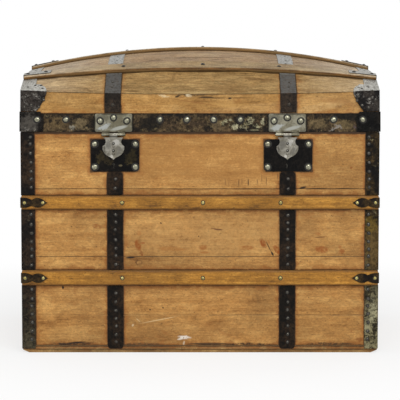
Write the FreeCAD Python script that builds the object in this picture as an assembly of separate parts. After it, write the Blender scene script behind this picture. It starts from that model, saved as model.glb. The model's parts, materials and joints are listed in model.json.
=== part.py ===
import FreeCAD, Part
import math
import os

# Dome top trunk: a pine chest with iron fittings and a lid that is domed both ways.
# Millimetres, +X to the right, +Y to the back, +Z up.
# The origin is the middle of the underside, on the middle skid.

V = FreeCAD.Vector

# ---------------------------------------------------------------- driving sizes
# Wooden body
WIDTH = 792.0                 # over the wood of the front boards
DEPTH = 500.0                 # over the wood, front to back
BODY_TOP = 494.0              # upper edge of the body, where the lid shuts
WALL = 14.0
FRONT_SEAMS = (0.172 * BODY_TOP, 0.439 * BODY_TOP, 0.745 * BODY_TOP)    # between the boards
SEAM_BEVEL = 0.8
SKID_HEIGHT = 8.0
SKID_WIDTH = 40.0
SKID_INSET = 3.0              # outer skids, back from the front and back of the floor
SKID_BEVEL = (14.0, 6.0)      # length and height cut off each end
FLOOR_THICKNESS = 8.0
FLOOR_BOARD_COUNT = 5
TONGUE_THICKNESS = 6.0        # strips inside the mouth that guide the lid
TONGUE_DEPTH = 54.0
TONGUE_RISE = 12.0
SLAT_THICKNESS = 9.0
SLAT_BEVEL = 2.5
LOWER_SLAT_WIDTH = 33.0
LOWER_SLAT_UP = 0.31 * BODY_TOP          # its lower edge
LOWER_SLAT = (LOWER_SLAT_UP, LOWER_SLAT_UP + LOWER_SLAT_WIDTH)
UPPER_SLAT_WIDTH = 30.5
UPPER_SLAT_UP = 0.653 * BODY_TOP
UPPER_SLAT = (UPPER_SLAT_UP, UPPER_SLAT_UP + UPPER_SLAT_WIDTH)

# Lid
LID_GAP = 0.5                 # between body and lid when shut
LID_BOARD = 12.0              # thickness of every board of the lid
LID_FRONT_HEIGHT = 90.0       # height of the lid's front board at its ends
LID_FRONT_DIP = 7.0           # how much lower its upper edge lies in the middle
LID_LEAN = 5.2                # degrees the lid's front board leans back
SHOULDER_IN = 65.0            # shoulder's upper edge, back from the front
SHOULDER_HEIGHT = 112.0       # its height at the ends of the lid
SHOULDER_RISE = 21.0          # how much higher it lies in the middle
CROWN_HEIGHT = 132.0          # height of the top at the ends
CROWN_RISE = 46.5             # how much higher the top is in the middle
CROWN_WIDTH = 40.0            # width of the middle stave
CROWN_POWER = 1.6             # how the slope eases off towards the top
SIDE_STAVES = 4               # staves on each side of the middle one
LID_SLAT_WIDTH = 37.0
LID_SLAT_THICKNESS = 9.0

# Iron
IRON = 1.2                    # straps, bands and corner irons
PLATE = 1.6                   # clamps, lock plates and hinge leaves
SEAT = 0.1                    # gap between iron and what it lies on
DOME_SEAT = 0.3               # the same over the curved boards of the lid
CORNER_LEG = 29.0
IRON_FOOT = 9.5               # lower end of straps and corner irons
STRAP_WIDTH = 34.5
STRAP_X = (-188.5, 194.3)
STRAP_CORNER = 6.0
LID_STRAP_X = (-193.0, 196.0)
SLAT_CLEAR = 0.5              # between a slat and the irons above and below it
CLAMP_REACH = 60.0            # slat-end clamp, along the slat and along the end
CLAMP_HEIGHT = 22.0
CLAMP_NECK = 13.0
BAND_HEIGHT = 41.0
BAND_CLAMP_REACH = 54.0
BAND_CLAMP_HEIGHT = 44.0
BINDING_WIDTH = 30.0          # edge binding on the dome
BINDING_DROP = 20.0           # and down the end of the lid
CORNER_IRON_REACH = 58.0      # lobed corner irons of the lid

# Latches, hasps and locks
LATCH_X = (-191.0, 193.0)
LOCK_OFF = (3.0, 2.0)         # lock plates sit this far right of the hasps
LATCH_PLATE = (83.0, 40.0)
LATCH_CORNER = 4.0
KNUCKLE_RADIUS = 3.75
KNUCKLE_LENGTH = 51.0
HASP_KNUCKLE = 17.0
KNUCKLE_GAP = 0.3
PIN_RADIUS = 1.5
PIN_CLEARANCE = 0.05
PIN_DROP = 5.2                # hasp pin below the body's upper edge
PIN_OUT = 6.8                 # and in front of the wood
HASP_THICKNESS = 1.6
HASP_LENGTH = 55.0
HASP_HALF = 24.0              # half its width over the barbs
HASP_CURL = 1.6               # its tip turns out by this
HASP_RIVET = (3.4, 1.8)
HASP_RIVETS_DOWN = (26.0, 42.0)
HASP_PRESS = 8.0              # degrees the hasp goes in to lock
NOSE = (8.0, 10.0)            # width and height of the hasp's hook
NOSE_DOWN = 44.0              # its middle below the pin
NOSE_CLEAR = 0.5              # between the hook and the lock plate at rest
NOSE_WALL = 0.8
SLOT_CLEAR = 1.4
LOCK_PLATE = (107.0, 71.0)
LOCK_PLATE_DOWN = 16.5        # below the body's upper edge, as the next three
LOCK_PLATE_TOP = BODY_TOP - LOCK_PLATE_DOWN
LOCK_PLATE_CORNER = 8.0
LOCK_NAIL_INSET = (8.5, 10.0)
KEYHOLE_DOWN = 71.0
KEYHOLE_Z = BODY_TOP - KEYHOLE_DOWN
KEYHOLE_RADIUS = 2.6
KEYHOLE_SLOT = (2.6, 9.0)
CASE_DEPTH = 9.0
CASE_WALL = 1.2
CASE_LEFT = 18.0
CASE_RIGHT = 43.0
CASE_DOWN = (82.0, 34.0)
CASE_BOTTOM = BODY_TOP - CASE_DOWN[0]
CASE_TOP = BODY_TOP - CASE_DOWN[1]
BOLT_THICKNESS = 1.8
BOLT_HEIGHT = 4.0
BOLT_LENGTH = 34.0
BOLT_START = 5.5              # bolt's tip beside the middle of the slot, drawn back
BOLT_CLEAR = 0.25
SPRING_THICKNESS = 0.6

# Hinges
HINGE_X = (-191.0, 194.5)
HINGE_WIDTH = 60.0
HINGE_LEAF = 52.0
HINGE_RADIUS = 4.2
HINGE_OUT = 7.5               # axis behind the wood
HINGE_PIN = 2.0
HINGE_KNUCKLES = 3

# Handles
HANDLE_DOWN = 176.0           # below the body's upper edge
HANDLE_Z = BODY_TOP - HANDLE_DOWN
HANDLE_PLATE = (168.0, 52.0)
HANDLE_OUT = 8.0              # bail's pivot in front of the end boards
BAIL_RADIUS = 4.0
BAIL_WIDTH = 92.0
BAIL_DROP = 54.0
BAIL_BEND = 10.0
BAIL_STUB = 26.0
EYE_WIDTH = 8.0
EYE_WALL = 3.0

# Nails
DOME_NAIL = (6.5, 4.6)        # radius and height
LOCK_NAIL = (6.7, 4.6)
SLAT_NAIL = (4.0, 2.2)
BAND_NAIL_X = (-296.4, -88.6, -29.0, 30.0, 89.5, 295.5)
BAND_CLAMP_NAIL = 36.0        # in from the end of the lid
BAND_NAIL_UP = 27.0
END_NAIL_Y = (-140.0, 0.0, 140.0)
LATCH_NAIL_OUT = 29.4
LATCH_NAIL_UP = (31.0, 24.0)  # middle one, side ones
SLAT_NAIL_X = (-172.6, 6.5, 178.6)
CLAMP_NAIL_IN = (7.5, 48.0)

# Facets of round pieces
ROUND_SIDES = 10              # bars, knuckles and bores
DOME_SIDES = 8
SMALL_HEAD_SIDES = 6
ARC_FACETS = 4
CORNER_FACETS = 3

# Sizes that follow from the others
HALF_W = WIDTH / 2
HALF_D = DEPTH / 2
FLOOR_TOP = SKID_HEIGHT + FLOOR_THICKNESS
LID_BOTTOM = BODY_TOP + LID_GAP
TAN_LEAN = math.tan(math.radians(LID_LEAN))


# ---------------------------------------------------------------- small helpers
def block(x, y, z):
    """Box between two limits on each axis."""
    return Part.makeBox(x[1] - x[0], y[1] - y[0], z[1] - z[0], V(x[0], y[0], z[0]))


def flat_face(points):
    return Part.Face(Part.makePolygon(points + points[:1]))


def prism_x(points, x_lo, x_hi):
    """Polygon of (y, z) points carried from x_lo to x_hi."""
    return flat_face([V(x_lo, y, z) for y, z in points]).extrude(V(x_hi - x_lo, 0, 0))


def out_prism(points, x_lo, x_hi):
    """Polygon of (out, z) points in front of the front boards, carried along X."""
    return prism_x([(-HALF_D - out, z) for out, z in points], x_lo, x_hi)


def ring(centre, across, up, sides=ROUND_SIDES):
    """Corners of a regular polygon about centre, from its two half-width vectors."""
    turns = [2 * math.pi * (i + 0.5) / sides for i in range(sides)]
    return [centre + across * math.cos(a) + up * math.sin(a) for a in turns]


def bar(start, end, radius, sides=ROUND_SIDES):
    """Straight bar between two points, round but for its facets."""
    along = end - start
    across = V(0, 0, 1).cross(along).normalize()
    up = V(0, 0, 1)
    return flat_face(ring(start, across * radius, up * radius, sides)).extrude(along)


def hole(start, end, radius):
    """Cutter for a bore whose flats stay clear of a bar of the radius."""
    return bar(start, end, radius / math.cos(math.pi / ROUND_SIDES))


def arc(first, through, last, facets=ARC_FACETS):
    """Points along the arc of a circle through three points, both ends included."""
    curve = Part.Arc(first, through, last)
    low, high = curve.FirstParameter, curve.LastParameter
    return [curve.value(low + (high - low) * i / facets) for i in range(facets + 1)]


def corner_arc(corner, inward, radius):
    """Points of a rounded corner; inward says on which side of it the plate lies."""
    side = [corner + V(inward[0] * radius * (1 - math.sin(turn)), 0,
                       inward[1] * radius * (1 - math.cos(turn)))
            for turn in [math.pi / 2 * i / CORNER_FACETS for i in range(CORNER_FACETS + 1)]]
    return side if inward[0] * inward[1] > 0 else side[::-1]


def front_outline(points, out):
    """Closed outline in the (x, z) plane, given thickness in front of the front boards."""
    face = flat_face(points)
    face.translate(V(0, -HALF_D - out[0], 0))
    return face.extrude(V(0, out[0] - out[1], 0))


def rounded_plate(x, z, out, radius):
    """Plate on the front with its four corners rounded."""
    points = []
    for corner, inward in (((x[0], z[0]), (1, 1)), ((x[0], z[1]), (1, -1)),
                           ((x[1], z[1]), (-1, -1)), ((x[1], z[0]), (-1, 1))):
        points += corner_arc(V(corner[0], 0, corner[1]), inward, radius)
    return front_outline(points, out)


def to_back(shape):
    return shape.mirror(V(0, 0, 0), V(0, 1, 0))


def to_right(shape):
    return shape.mirror(V(0, 0, 0), V(1, 0, 0))


def lean_back(shape):
    """Lean a piece made against the upright front back onto the lid's front board."""
    leaned = shape.copy()
    leaned.rotate(V(0, -HALF_D, LID_BOTTOM), V(1, 0, 0), -LID_LEAN)
    return leaned


def faceted(rings):
    """Solid through rings of corners, with a flat face between each two neighbours."""
    faces = [flat_face(rings[0]), flat_face(rings[-1])]
    for low, high in zip(rings[:-1], rings[1:]):
        for i in range(len(low)):
            j = i - 1
            faces.append(flat_face([low[j], low[i], high[i], high[j]]))
    solid = Part.makeSolid(Part.makeShell(faces))
    if solid.Volume < 0:
        solid.reverse()
    return solid


def nail_head(size, rings, sides, facing=V(0, -1, 0)):
    """Round nail head standing on the origin; rings are shares of its radius and height."""
    radius, height = size
    head = faceted([ring(V(0, 0, height * high), V(radius * wide, 0, 0), V(0, radius * wide, 0), sides)
                    for wide, high in rings])
    head.Placement = FreeCAD.Placement(V(0, 0, 0), FreeCAD.Rotation(V(0, 0, 1), facing))
    return head


def dome(size, facing=V(0, -1, 0)):
    """Large domed nail."""
    return nail_head(size, ((1.0, 0.0), (0.82, 0.58), (0.38, 1.0)), DOME_SIDES, facing)


def small_head(size, facing=V(0, -1, 0)):
    """Small nail with few faces."""
    return nail_head(size, ((1.0, 0.0), (0.55, 1.0)), SMALL_HEAD_SIDES, facing)


def moved(shape, place):
    copy = shape.copy()
    copy.translate(place)
    return copy


def write(name, shapes):
    """One file for each sub-part; a list becomes a group of separate solids."""
    shapes = shapes if isinstance(shapes, list) else [shapes]
    solids = [solid for shape in shapes for solid in shape.Solids]
    shape = solids[0] if len(solids) == 1 else Part.makeCompound(solids)
    shape.exportStep("parts/" + name + ".step")


# ---------------------------------------------------------------- form of the lid
def crown(x):
    """1 in the middle of the lid and 0 at its ends, as a parabola."""
    return 1 - (x / HALF_W) ** 2


def front_half_profile(x):
    """(depth, height) of the board edges from the foot of the lid to the top."""
    front = LID_FRONT_HEIGHT - LID_FRONT_DIP * crown(x)
    shoulder = SHOULDER_HEIGHT + SHOULDER_RISE * crown(x)
    top = CROWN_HEIGHT + CROWN_RISE * crown(x)
    crown_in = HALF_D - CROWN_WIDTH / 2
    points = [(0.0, 0.0), (front * TAN_LEAN, front)]
    for i in range(SIDE_STAVES + 1):
        share = i / SIDE_STAVES
        rise = 1 - (1 - share) ** CROWN_POWER
        depth = SHOULDER_IN + (crown_in - SHOULDER_IN) * share
        points.append((depth, shoulder + (top - shoulder) * rise))
    return points


TOP_T = SIDE_STAVES + 2       # front edge of the middle stave, counted in board edges
END_T = 2 * TOP_T + 1         # foot of the lid at the back
FRONT_SLAT_END = 2 + LID_SLAT_WIDTH / ((HALF_D - CROWN_WIDTH / 2 - SHOULDER_IN) / SIDE_STAVES)
RIDGE_SLAT_MARGIN = (1 - LID_SLAT_WIDTH / CROWN_WIDTH) / 2
BAND_T = BAND_HEIGHT / LID_FRONT_HEIGHT
SECTION_STEPS = (40.0, 120.0, 120.0)     # widths past which a loft takes one more section


def profile_corner(x, index, offset):
    """Board edge number index, moved out by offset on the mitre between its two boards."""
    half = front_half_profile(x)
    points = half + [(DEPTH - d, z) for d, z in reversed(half)]
    d, z = points[index]

    def normal(first, second):
        run = (second[0] - first[0], second[1] - first[1])
        length = math.hypot(*run)
        return (-run[1] / length, run[0] / length)

    if index in (0, END_T):
        board = (points[0], points[1]) if index == 0 else (points[-2], points[-1])
        return V(x, -HALF_D + d + offset / normal(*board)[0], LID_BOTTOM + z)
    before = normal(points[index - 1], points[index])
    after = normal(points[index], points[index + 1])
    mitre = offset / (1 + before[0] * after[0] + before[1] * after[1])
    return V(x, -HALF_D + d + mitre * (before[0] + after[0]),
             LID_BOTTOM + z + mitre * (before[1] + after[1]))


def lid_point(x, t, offset):
    """Point over the lid: t counts board edges from the foot in front to the foot at the back."""
    index = min(int(t), END_T - 1)
    low = profile_corner(x, index, offset)
    high = profile_corner(x, index + 1, offset)
    return low + (high - low) * (t - index)


def stations(t_lo, t_hi):
    """t_lo, every board edge between, and t_hi."""
    inner = [float(i) for i in range(END_T + 1) if t_lo + 0.001 < i < t_hi - 0.001]
    return [t_lo] + inner + [t_hi]


def lid_patch(x_lo, x_hi, t_lo, t_hi, offsets, bevel=0.0):
    """Piece that follows the lid, between two offsets from the wood."""
    lo, hi = offsets
    count = 2 + sum(abs(x_hi - x_lo) > width for width in SECTION_STEPS)
    wires = []
    for i in range(count):
        x = x_lo + (x_hi - x_lo) * i / (count - 1)
        ts = stations(t_lo, t_hi)
        inner = [lid_point(x, t, lo) for t in ts]
        outer = [lid_point(x, t, hi) for t in reversed(ts)]
        if bevel:
            first, last = outer[0], outer[-1]
            along = (last - first).normalize() * bevel
            down_first = (inner[-1] - first).normalize() * bevel
            down_last = (inner[0] - last).normalize() * bevel
            outer = [first + down_first, first + along, last - along, last + down_last]
        wires.append(Part.makePolygon(inner + outer + inner[:1]))
    return Part.makeLoft(wires, True, count == 2)


def lid_rim(x_lo, x_hi, t_lo, t_hi, offsets):
    """Flat piece on the end of the lid that follows the edge of the dome."""
    end = math.copysign(HALF_W, x_lo)
    ts = stations(t_lo, t_hi)
    inner = [lid_point(end, t, offsets[0]) for t in ts]
    outer = [lid_point(end, t, offsets[1]) for t in reversed(ts)]
    return prism_x([(p.y, p.z) for p in inner + outer], x_lo, x_hi)


# ---------------------------------------------------------------- wooden body
def wall_board(z_lo, z_hi):
    """Front board with its outer long edges bevelled, so that the seams show."""
    b = SEAM_BEVEL
    profile = [(-WALL, z_lo), (-b, z_lo), (0, z_lo + b), (0, z_hi - b), (-b, z_hi), (-WALL, z_hi)]
    return out_prism(profile, -HALF_W, HALF_W)


def end_board(z_lo, z_hi):
    """Left end board, between the front and back boards."""
    b = SEAM_BEVEL
    profile = [(WALL, z_lo), (b, z_lo), (0, z_lo + b), (0, z_hi - b), (b, z_hi), (WALL, z_hi)]
    face = flat_face([V(-HALF_W + x, -HALF_D + WALL, z) for x, z in profile])
    return face.extrude(V(0, DEPTH - 2 * WALL, 0))


def skid(y):
    """Batten under the floor, its ends cut off at a slant."""
    run, rise = SKID_BEVEL
    points = [(-HALF_W, SKID_HEIGHT), (-HALF_W, rise), (-HALF_W + run, 0),
              (HALF_W - run, 0), (HALF_W, rise), (HALF_W, SKID_HEIGHT)]
    return flat_face([V(x, y - SKID_WIDTH / 2, z) for x, z in points]).extrude(V(0, SKID_WIDTH, 0))


def lock_mortise(x):
    """Room for a lock case in the top front board."""
    return block((x - CASE_LEFT, x + CASE_RIGHT), (-HALF_D - PLATE, -HALF_D + CASE_DEPTH),
                 (CASE_BOTTOM, CASE_TOP))


def make_body_wood():
    outer = HALF_D - SKID_INSET - SKID_WIDTH / 2
    write("bottom_skids", [skid(y) for y in (-outer, 0.0, outer)])
    board = DEPTH / FLOOR_BOARD_COUNT
    write("floor_boards", [
        block((-HALF_W, HALF_W), (-HALF_D + i * board, -HALF_D + (i + 1) * board),
              (SKID_HEIGHT, FLOOR_TOP)) for i in range(FLOOR_BOARD_COUNT)])
    edges = (FLOOR_TOP,) + FRONT_SEAMS + (BODY_TOP,)
    spans = list(zip(edges[:-1], edges[1:]))
    names = ("front_bottom_board", "front_lower_board", "front_upper_board", "front_top_board")
    for name, span in zip(names, spans):
        board = wall_board(*span)
        for x in LATCH_X:
            board = board.cut(lock_mortise(x)) if span[1] > CASE_BOTTOM else board
        write(name, board)
    write("back_boards", [to_back(wall_board(*span)) for span in spans])
    left = [end_board(*span) for span in spans]
    write("left_end_boards", left)
    write("right_end_boards", [to_right(board) for board in left])

    z = (BODY_TOP - TONGUE_DEPTH + TONGUE_RISE, BODY_TOP + TONGUE_RISE)
    inner = (HALF_W - WALL, HALF_D - WALL)
    long_strip = block((-inner[0], inner[0]), (-inner[1], -inner[1] + TONGUE_THICKNESS), z)
    short_strip = block((-inner[0], -inner[0] + TONGUE_THICKNESS),
                        (-inner[1] + TONGUE_THICKNESS, inner[1] - TONGUE_THICKNESS), z)
    write("rim_tongue", [long_strip, to_back(long_strip), short_strip, to_right(short_strip)])


def body_slat(z):
    t, b = SLAT_THICKNESS, SLAT_BEVEL
    profile = [(0, z[0]), (t - b, z[0]), (t, z[0] + b), (t, z[1] - b), (t - b, z[1]), (0, z[1])]
    return out_prism(profile, -HALF_W, HALF_W)


def clamp_outline(z, reach):
    """Figure-eight clamp leaf: two round lobes, a neck between and a pointed tip."""
    middle = sum(z) / 2
    half, neck = (z[1] - z[0]) / 2, CLAMP_NECK / 2
    waist, tip = reach * 0.42, reach * 0.88
    x0 = -HALF_W - SEAT - PLATE

    def upper(sign):
        def p(along, up):
            return V(x0 + along, 0, middle + sign * up)

        return (arc(p(0, half), p(waist * 0.6, half * 0.95), p(waist, neck))
                + arc(p(waist, neck), p(reach * 0.66, half * 0.98), p(tip, neck * 0.75))[1:])

    return upper(1) + [V(x0 + reach, 0, middle)] + upper(-1)[::-1]


def turned_to_end(shape):
    """Turn a leaf on the front round the left front corner, onto the left end."""
    leaf = shape.copy()
    leaf.translate(V(HALF_W, HALF_D, 0))
    leaf = leaf.mirror(V(0, 0, 0), V(1, -1, 0))
    leaf.translate(V(-HALF_W, -HALF_D, 0))
    return leaf


def corner_clamp(z, out, outline, reach):
    """Clamp round the left front corner: a leaf on the front, one on the end."""
    front = front_outline(outline(z, reach), (out, out + PLATE))
    end = turned_to_end(front_outline(outline(z, reach + out), (SEAT, SEAT + PLATE)))
    end.translate(V(0, -out + SEAT, 0))
    return front.fuse(end).removeSplitter()


def four_corners(left_front):
    right_front = to_right(left_front)
    return [left_front, right_front], [to_back(left_front), to_back(right_front)]


def corner_iron(z):
    """Length of angle iron on the left front corner."""
    lo, hi = SEAT, SEAT + IRON
    points = [(-hi, -hi), (CORNER_LEG, -hi), (CORNER_LEG, -lo), (-lo, -lo),
              (-lo, CORNER_LEG), (-hi, CORNER_LEG)]
    face = flat_face([V(-HALF_W + x, -HALF_D + y, z[0]) for x, y in points])
    return face.extrude(V(0, 0, z[1] - z[0]))


def spans_between_slats(z_lo, z_hi):
    edges = (z_lo, LOWER_SLAT[0] - SLAT_CLEAR, LOWER_SLAT[1] + SLAT_CLEAR,
             UPPER_SLAT[0] - SLAT_CLEAR, UPPER_SLAT[1] + SLAT_CLEAR, z_hi)
    return list(zip(edges[::2], edges[1::2]))


def strap_lengths(x, z_hi):
    width = (x - STRAP_WIDTH / 2, x + STRAP_WIDTH / 2)
    return [rounded_plate(width, z, (SEAT, SEAT + IRON), STRAP_CORNER)
            for z in spans_between_slats(IRON_FOOT, z_hi)]


def slat_nails(z):
    """Nails of a slat on the front: on the wood and in the clamps at its ends."""
    middle = sum(z) / 2
    on_wood = [moved(small_head(SLAT_NAIL), V(x, -HALF_D - SLAT_THICKNESS, middle))
               for x in SLAT_NAIL_X]
    out = SLAT_THICKNESS + SEAT + PLATE
    in_clamp = [moved(small_head(SLAT_NAIL), V(side * (HALF_W - along), -HALF_D - out, middle))
                for along in CLAMP_NAIL_IN for side in (-1, 1)]
    return on_wood + in_clamp


def make_body_fittings():
    slats = [body_slat(z) for z in (UPPER_SLAT, LOWER_SLAT)]
    write("front_upper_slat", slats[0])
    write("front_lower_slat", slats[1])
    write("back_slats", [to_back(slat) for slat in slats])

    clamps = []
    for z in (UPPER_SLAT, LOWER_SLAT):
        middle = sum(z) / 2
        height = (middle - CLAMP_HEIGHT / 2, middle + CLAMP_HEIGHT / 2)
        clamps.append(corner_clamp(height, SLAT_THICKNESS + SEAT, clamp_outline, CLAMP_REACH))
    groups = [four_corners(clamp) for clamp in clamps]
    write("front_slat_clamps", groups[0][0] + groups[1][0])
    write("back_slat_clamps", groups[0][1] + groups[1][1])

    irons = [corner_iron(z) for z in spans_between_slats(IRON_FOOT, BODY_TOP - LID_GAP)]
    write("front_left_corner_irons", irons)
    write("front_right_corner_irons", [to_right(iron) for iron in irons])
    back = [to_back(iron) for iron in irons]
    write("back_corner_irons", back + [to_right(iron) for iron in back])

    below_lock = LOCK_PLATE_TOP - LOCK_PLATE[1] - SLAT_CLEAR
    write("front_straps", [s for x in STRAP_X for s in strap_lengths(x, below_lock)])
    below_hinge = BODY_TOP - HINGE_OUT - HINGE_LEAF - SLAT_CLEAR
    write("back_straps", [to_back(s) for x in STRAP_X for s in strap_lengths(x, below_hinge)])

    nails = [nail for z in (UPPER_SLAT, LOWER_SLAT) for nail in slat_nails(z)]
    write("body_slat_nails", nails + [to_back(nail) for nail in nails])


# ---------------------------------------------------------------- locks, latches and hasps
PIN_Z = BODY_TOP - PIN_DROP
PLATE_FACE = SEAT + PLATE
PRESS = math.radians(HASP_PRESS)
NOSE_TIP = PLATE_FACE + NOSE_CLEAR - PIN_OUT      # measured outwards from the pin
EYE_HEIGHT = BOLT_HEIGHT + 2 * BOLT_CLEAR + 1.5
EYE_DEPTH = BOLT_THICKNESS + 2 * BOLT_CLEAR + 0.9
EYE_OUT = NOSE_TIP + NOSE_WALL + EYE_DEPTH / 2
BOLT_Z = PIN_Z - (NOSE_DOWN * math.cos(PRESS) + EYE_OUT * math.sin(PRESS))
BOLT_OUT = PIN_OUT + EYE_OUT * math.cos(PRESS) - NOSE_DOWN * math.sin(PRESS)
LEAF_BACK = KNUCKLE_RADIUS - HASP_THICKNESS       # outwards from the pin


def pin_place(x):
    return V(x, -HALF_D - PIN_OUT, PIN_Z)


def pin_bar(x_lo, x_hi, radius):
    """Bar on the axis of the hasp's pin."""
    return bar(pin_place(x_lo), pin_place(x_hi), radius)


def lock_plate(x, middle):
    """Plate with the slot for the hasp's hook at x, and the keyhole under it."""
    z = (LOCK_PLATE_TOP - LOCK_PLATE[1], LOCK_PLATE_TOP)
    plate = rounded_plate((middle - LOCK_PLATE[0] / 2, middle + LOCK_PLATE[0] / 2), z,
                          (SEAT, PLATE_FACE), LOCK_PLATE_CORNER)
    depth = (-HALF_D - 2 * PLATE_FACE, -HALF_D)
    half = NOSE[0] / 2 + SLOT_CLEAR
    low = PIN_Z - NOSE_DOWN - NOSE[1] / 2 - SLOT_CLEAR
    high = PIN_Z - NOSE_DOWN + NOSE[1] / 2 + 2 * SLOT_CLEAR
    plate = plate.cut(block((x - half, x + half), depth, (low, high)))
    eye = bar(V(x, depth[0], KEYHOLE_Z), V(x, depth[1], KEYHOLE_Z), KEYHOLE_RADIUS)
    ward = block((x - KEYHOLE_SLOT[0] / 2, x + KEYHOLE_SLOT[0] / 2), depth,
                 (KEYHOLE_Z - KEYHOLE_SLOT[1], KEYHOLE_Z))
    return plate.cut(eye.fuse(ward))


def lock_case(x):
    """Open-fronted case let into the board, with two stumps that guide the bolt."""
    w = CASE_WALL
    outside = (x - CASE_LEFT, x + CASE_RIGHT)
    back, front = -HALF_D + CASE_DEPTH, -HALF_D + SEAT
    shell = block(outside, (front, back), (CASE_BOTTOM, CASE_TOP))
    hollow = block((outside[0] + w, outside[1] - w), (front - w, back - w),
                   (CASE_BOTTOM + w, CASE_TOP - w))
    case = shell.cut(hollow)
    bolt_back = -HALF_D - BOLT_OUT + BOLT_THICKNESS / 2 + BOLT_CLEAR
    grip = BOLT_HEIGHT / 2 + BOLT_CLEAR
    stump_width = 3.5
    for start in (BOLT_START + 1.5, BOLT_START + 9.0):
        stump = block((x + start, x + start + stump_width), (front + SEAT, back - w),
                      (BOLT_Z - grip - w, BOLT_Z + grip + w))
        channel = block((x + start, x + start + stump_width), (front, bolt_back),
                        (BOLT_Z - grip, BOLT_Z + grip))
        case = case.fuse(stump.cut(channel))
    return case


def lock_bolt(x):
    """Flat bolt with an arm below it, notched for the key."""
    y = (-HALF_D - BOLT_OUT - BOLT_THICKNESS / 2, -HALF_D - BOLT_OUT + BOLT_THICKNESS / 2)
    half = BOLT_HEIGHT / 2
    start, end = x + BOLT_START, x + BOLT_START + BOLT_LENGTH
    slider = block((start, end), y, (BOLT_Z - half, BOLT_Z + half))
    drop = 3 * BOLT_HEIGHT
    link = (end - 2 * BOLT_HEIGHT, end - BOLT_HEIGHT)
    upright = block(link, y, (BOLT_Z - drop, BOLT_Z))
    arm = block((x - BOLT_HEIGHT / 2, link[1]), y, (BOLT_Z - drop, BOLT_Z - drop + BOLT_HEIGHT))
    notch_x = x + BOLT_START
    notch = bar(V(notch_x, y[0] - SEAT, BOLT_Z - drop), V(notch_x, y[1] + SEAT, BOLT_Z - drop),
                BOLT_HEIGHT * 0.6)
    return slider.fuse(upright).fuse(arm).cut(notch).removeSplitter()


def lock_spring(x):
    """Bent leaf spring from the side of the case down to the top of the bolt."""
    t = SPRING_THICKNESS
    wall = x + CASE_RIGHT - CASE_WALL
    low = BOLT_Z + BOLT_HEIGHT / 2 + BOLT_CLEAR
    run = wall - (x + BOLT_START + BOLT_LENGTH / 2 - 1)
    y = -HALF_D - BOLT_OUT - BOLT_THICKNESS / 2

    def bend(rise):
        return arc(V(wall, y, low + 9 + rise), V(wall - run / 2, y, low + 2.4 + rise),
                   V(wall - run, y, low + rise))

    return flat_face(bend(0.0) + bend(t)[::-1]).extrude(V(0, BOLT_THICKNESS, 0))


def latch_plate(x):
    """Plate on the lid's band with two knuckles hanging below the joint."""
    out = SEAT + IRON + SEAT
    half, height = LATCH_PLATE[0] / 2, LATCH_PLATE[1]
    plate = rounded_plate((x - half, x + half), (LID_BOTTOM, LID_BOTTOM + height),
                          (out, out + PLATE), LATCH_CORNER)
    plate = lean_back(plate)
    r, k = KNUCKLE_RADIUS, PIN_OUT
    neck = [(out, LID_BOTTOM + 1), (out, PIN_Z + 3), (k - r, PIN_Z), (k, PIN_Z),
            (k + 0.6 * r, PIN_Z + 0.75 * r), (out + PLATE, LID_BOTTOM + 3)]
    inside = HASP_KNUCKLE / 2 + KNUCKLE_GAP
    for side in (-1, 1):
        ends = sorted((x + side * inside, x + side * KNUCKLE_LENGTH / 2))
        plate = plate.fuse(out_prism(neck, *ends))
        plate = plate.fuse(pin_bar(*ends, r))
    bore = hole(pin_place(x - KNUCKLE_LENGTH), pin_place(x + KNUCKLE_LENGTH),
                PIN_RADIUS + PIN_CLEARANCE)
    window = out_prism([(out - SEAT, LID_BOTTOM), (k + 2 * r, LID_BOTTOM), (k + 2 * r, PIN_Z),
                        (out - SEAT, PIN_Z)], x - inside, x + inside)
    below = block((x - inside, x + inside), (-HALF_D - k - r, -HALF_D), (PIN_Z - r, LID_BOTTOM))
    return plate.cut(bore).cut(window.fuse(below))


def latch_pin(x):
    half = KNUCKLE_LENGTH / 2
    pin = pin_bar(x - half - 1, x + half + 1, PIN_RADIUS)
    heads = [pin_bar(start, start + 1, PIN_RADIUS * 1.5) for start in (x - half - 1.2, x + half + 0.2)]
    return pin.fuse(heads)


def hasp_outline(x, scale=1.0):
    """Shield: straight shoulders, hollow neck, two barbs, round belly and pointed tip."""
    centre = HASP_LENGTH * 0.5
    ear = KNUCKLE_RADIUS + 2.4

    def half(sign):
        def p(wide, down):
            drop = (down * HASP_LENGTH - centre) * scale
            return V(x + sign * wide * HASP_HALF * scale, 0, PIN_Z - centre - drop)

        neck = arc(p(0.92, ear / HASP_LENGTH), p(0.70, 0.27), p(1.0, 0.465))
        belly = arc(p(1.0, 0.465), p(0.91, 0.69), p(0.42, 0.88))
        return neck + belly[1:] + [p(0.21, 0.92)]

    return half(1) + [V(x, 0, PIN_Z - centre - (HASP_LENGTH - centre) * scale)] + half(-1)[::-1]


def hasp_sheet(x, lo, hi):
    """Sheet that hangs from the pin and curls outwards at its lower end."""
    curl, bend = HASP_CURL, HASP_LENGTH * 0.82
    k = PIN_OUT
    tip = PIN_Z - HASP_LENGTH - 1
    profile = [(k + lo, PIN_Z), (k + lo, PIN_Z - bend), (k + lo + curl, tip),
               (k + hi + curl, tip), (k + hi, PIN_Z - bend), (k + hi, PIN_Z)]
    return out_prism(profile, x - HASP_LENGTH, x + HASP_LENGTH)


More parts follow.
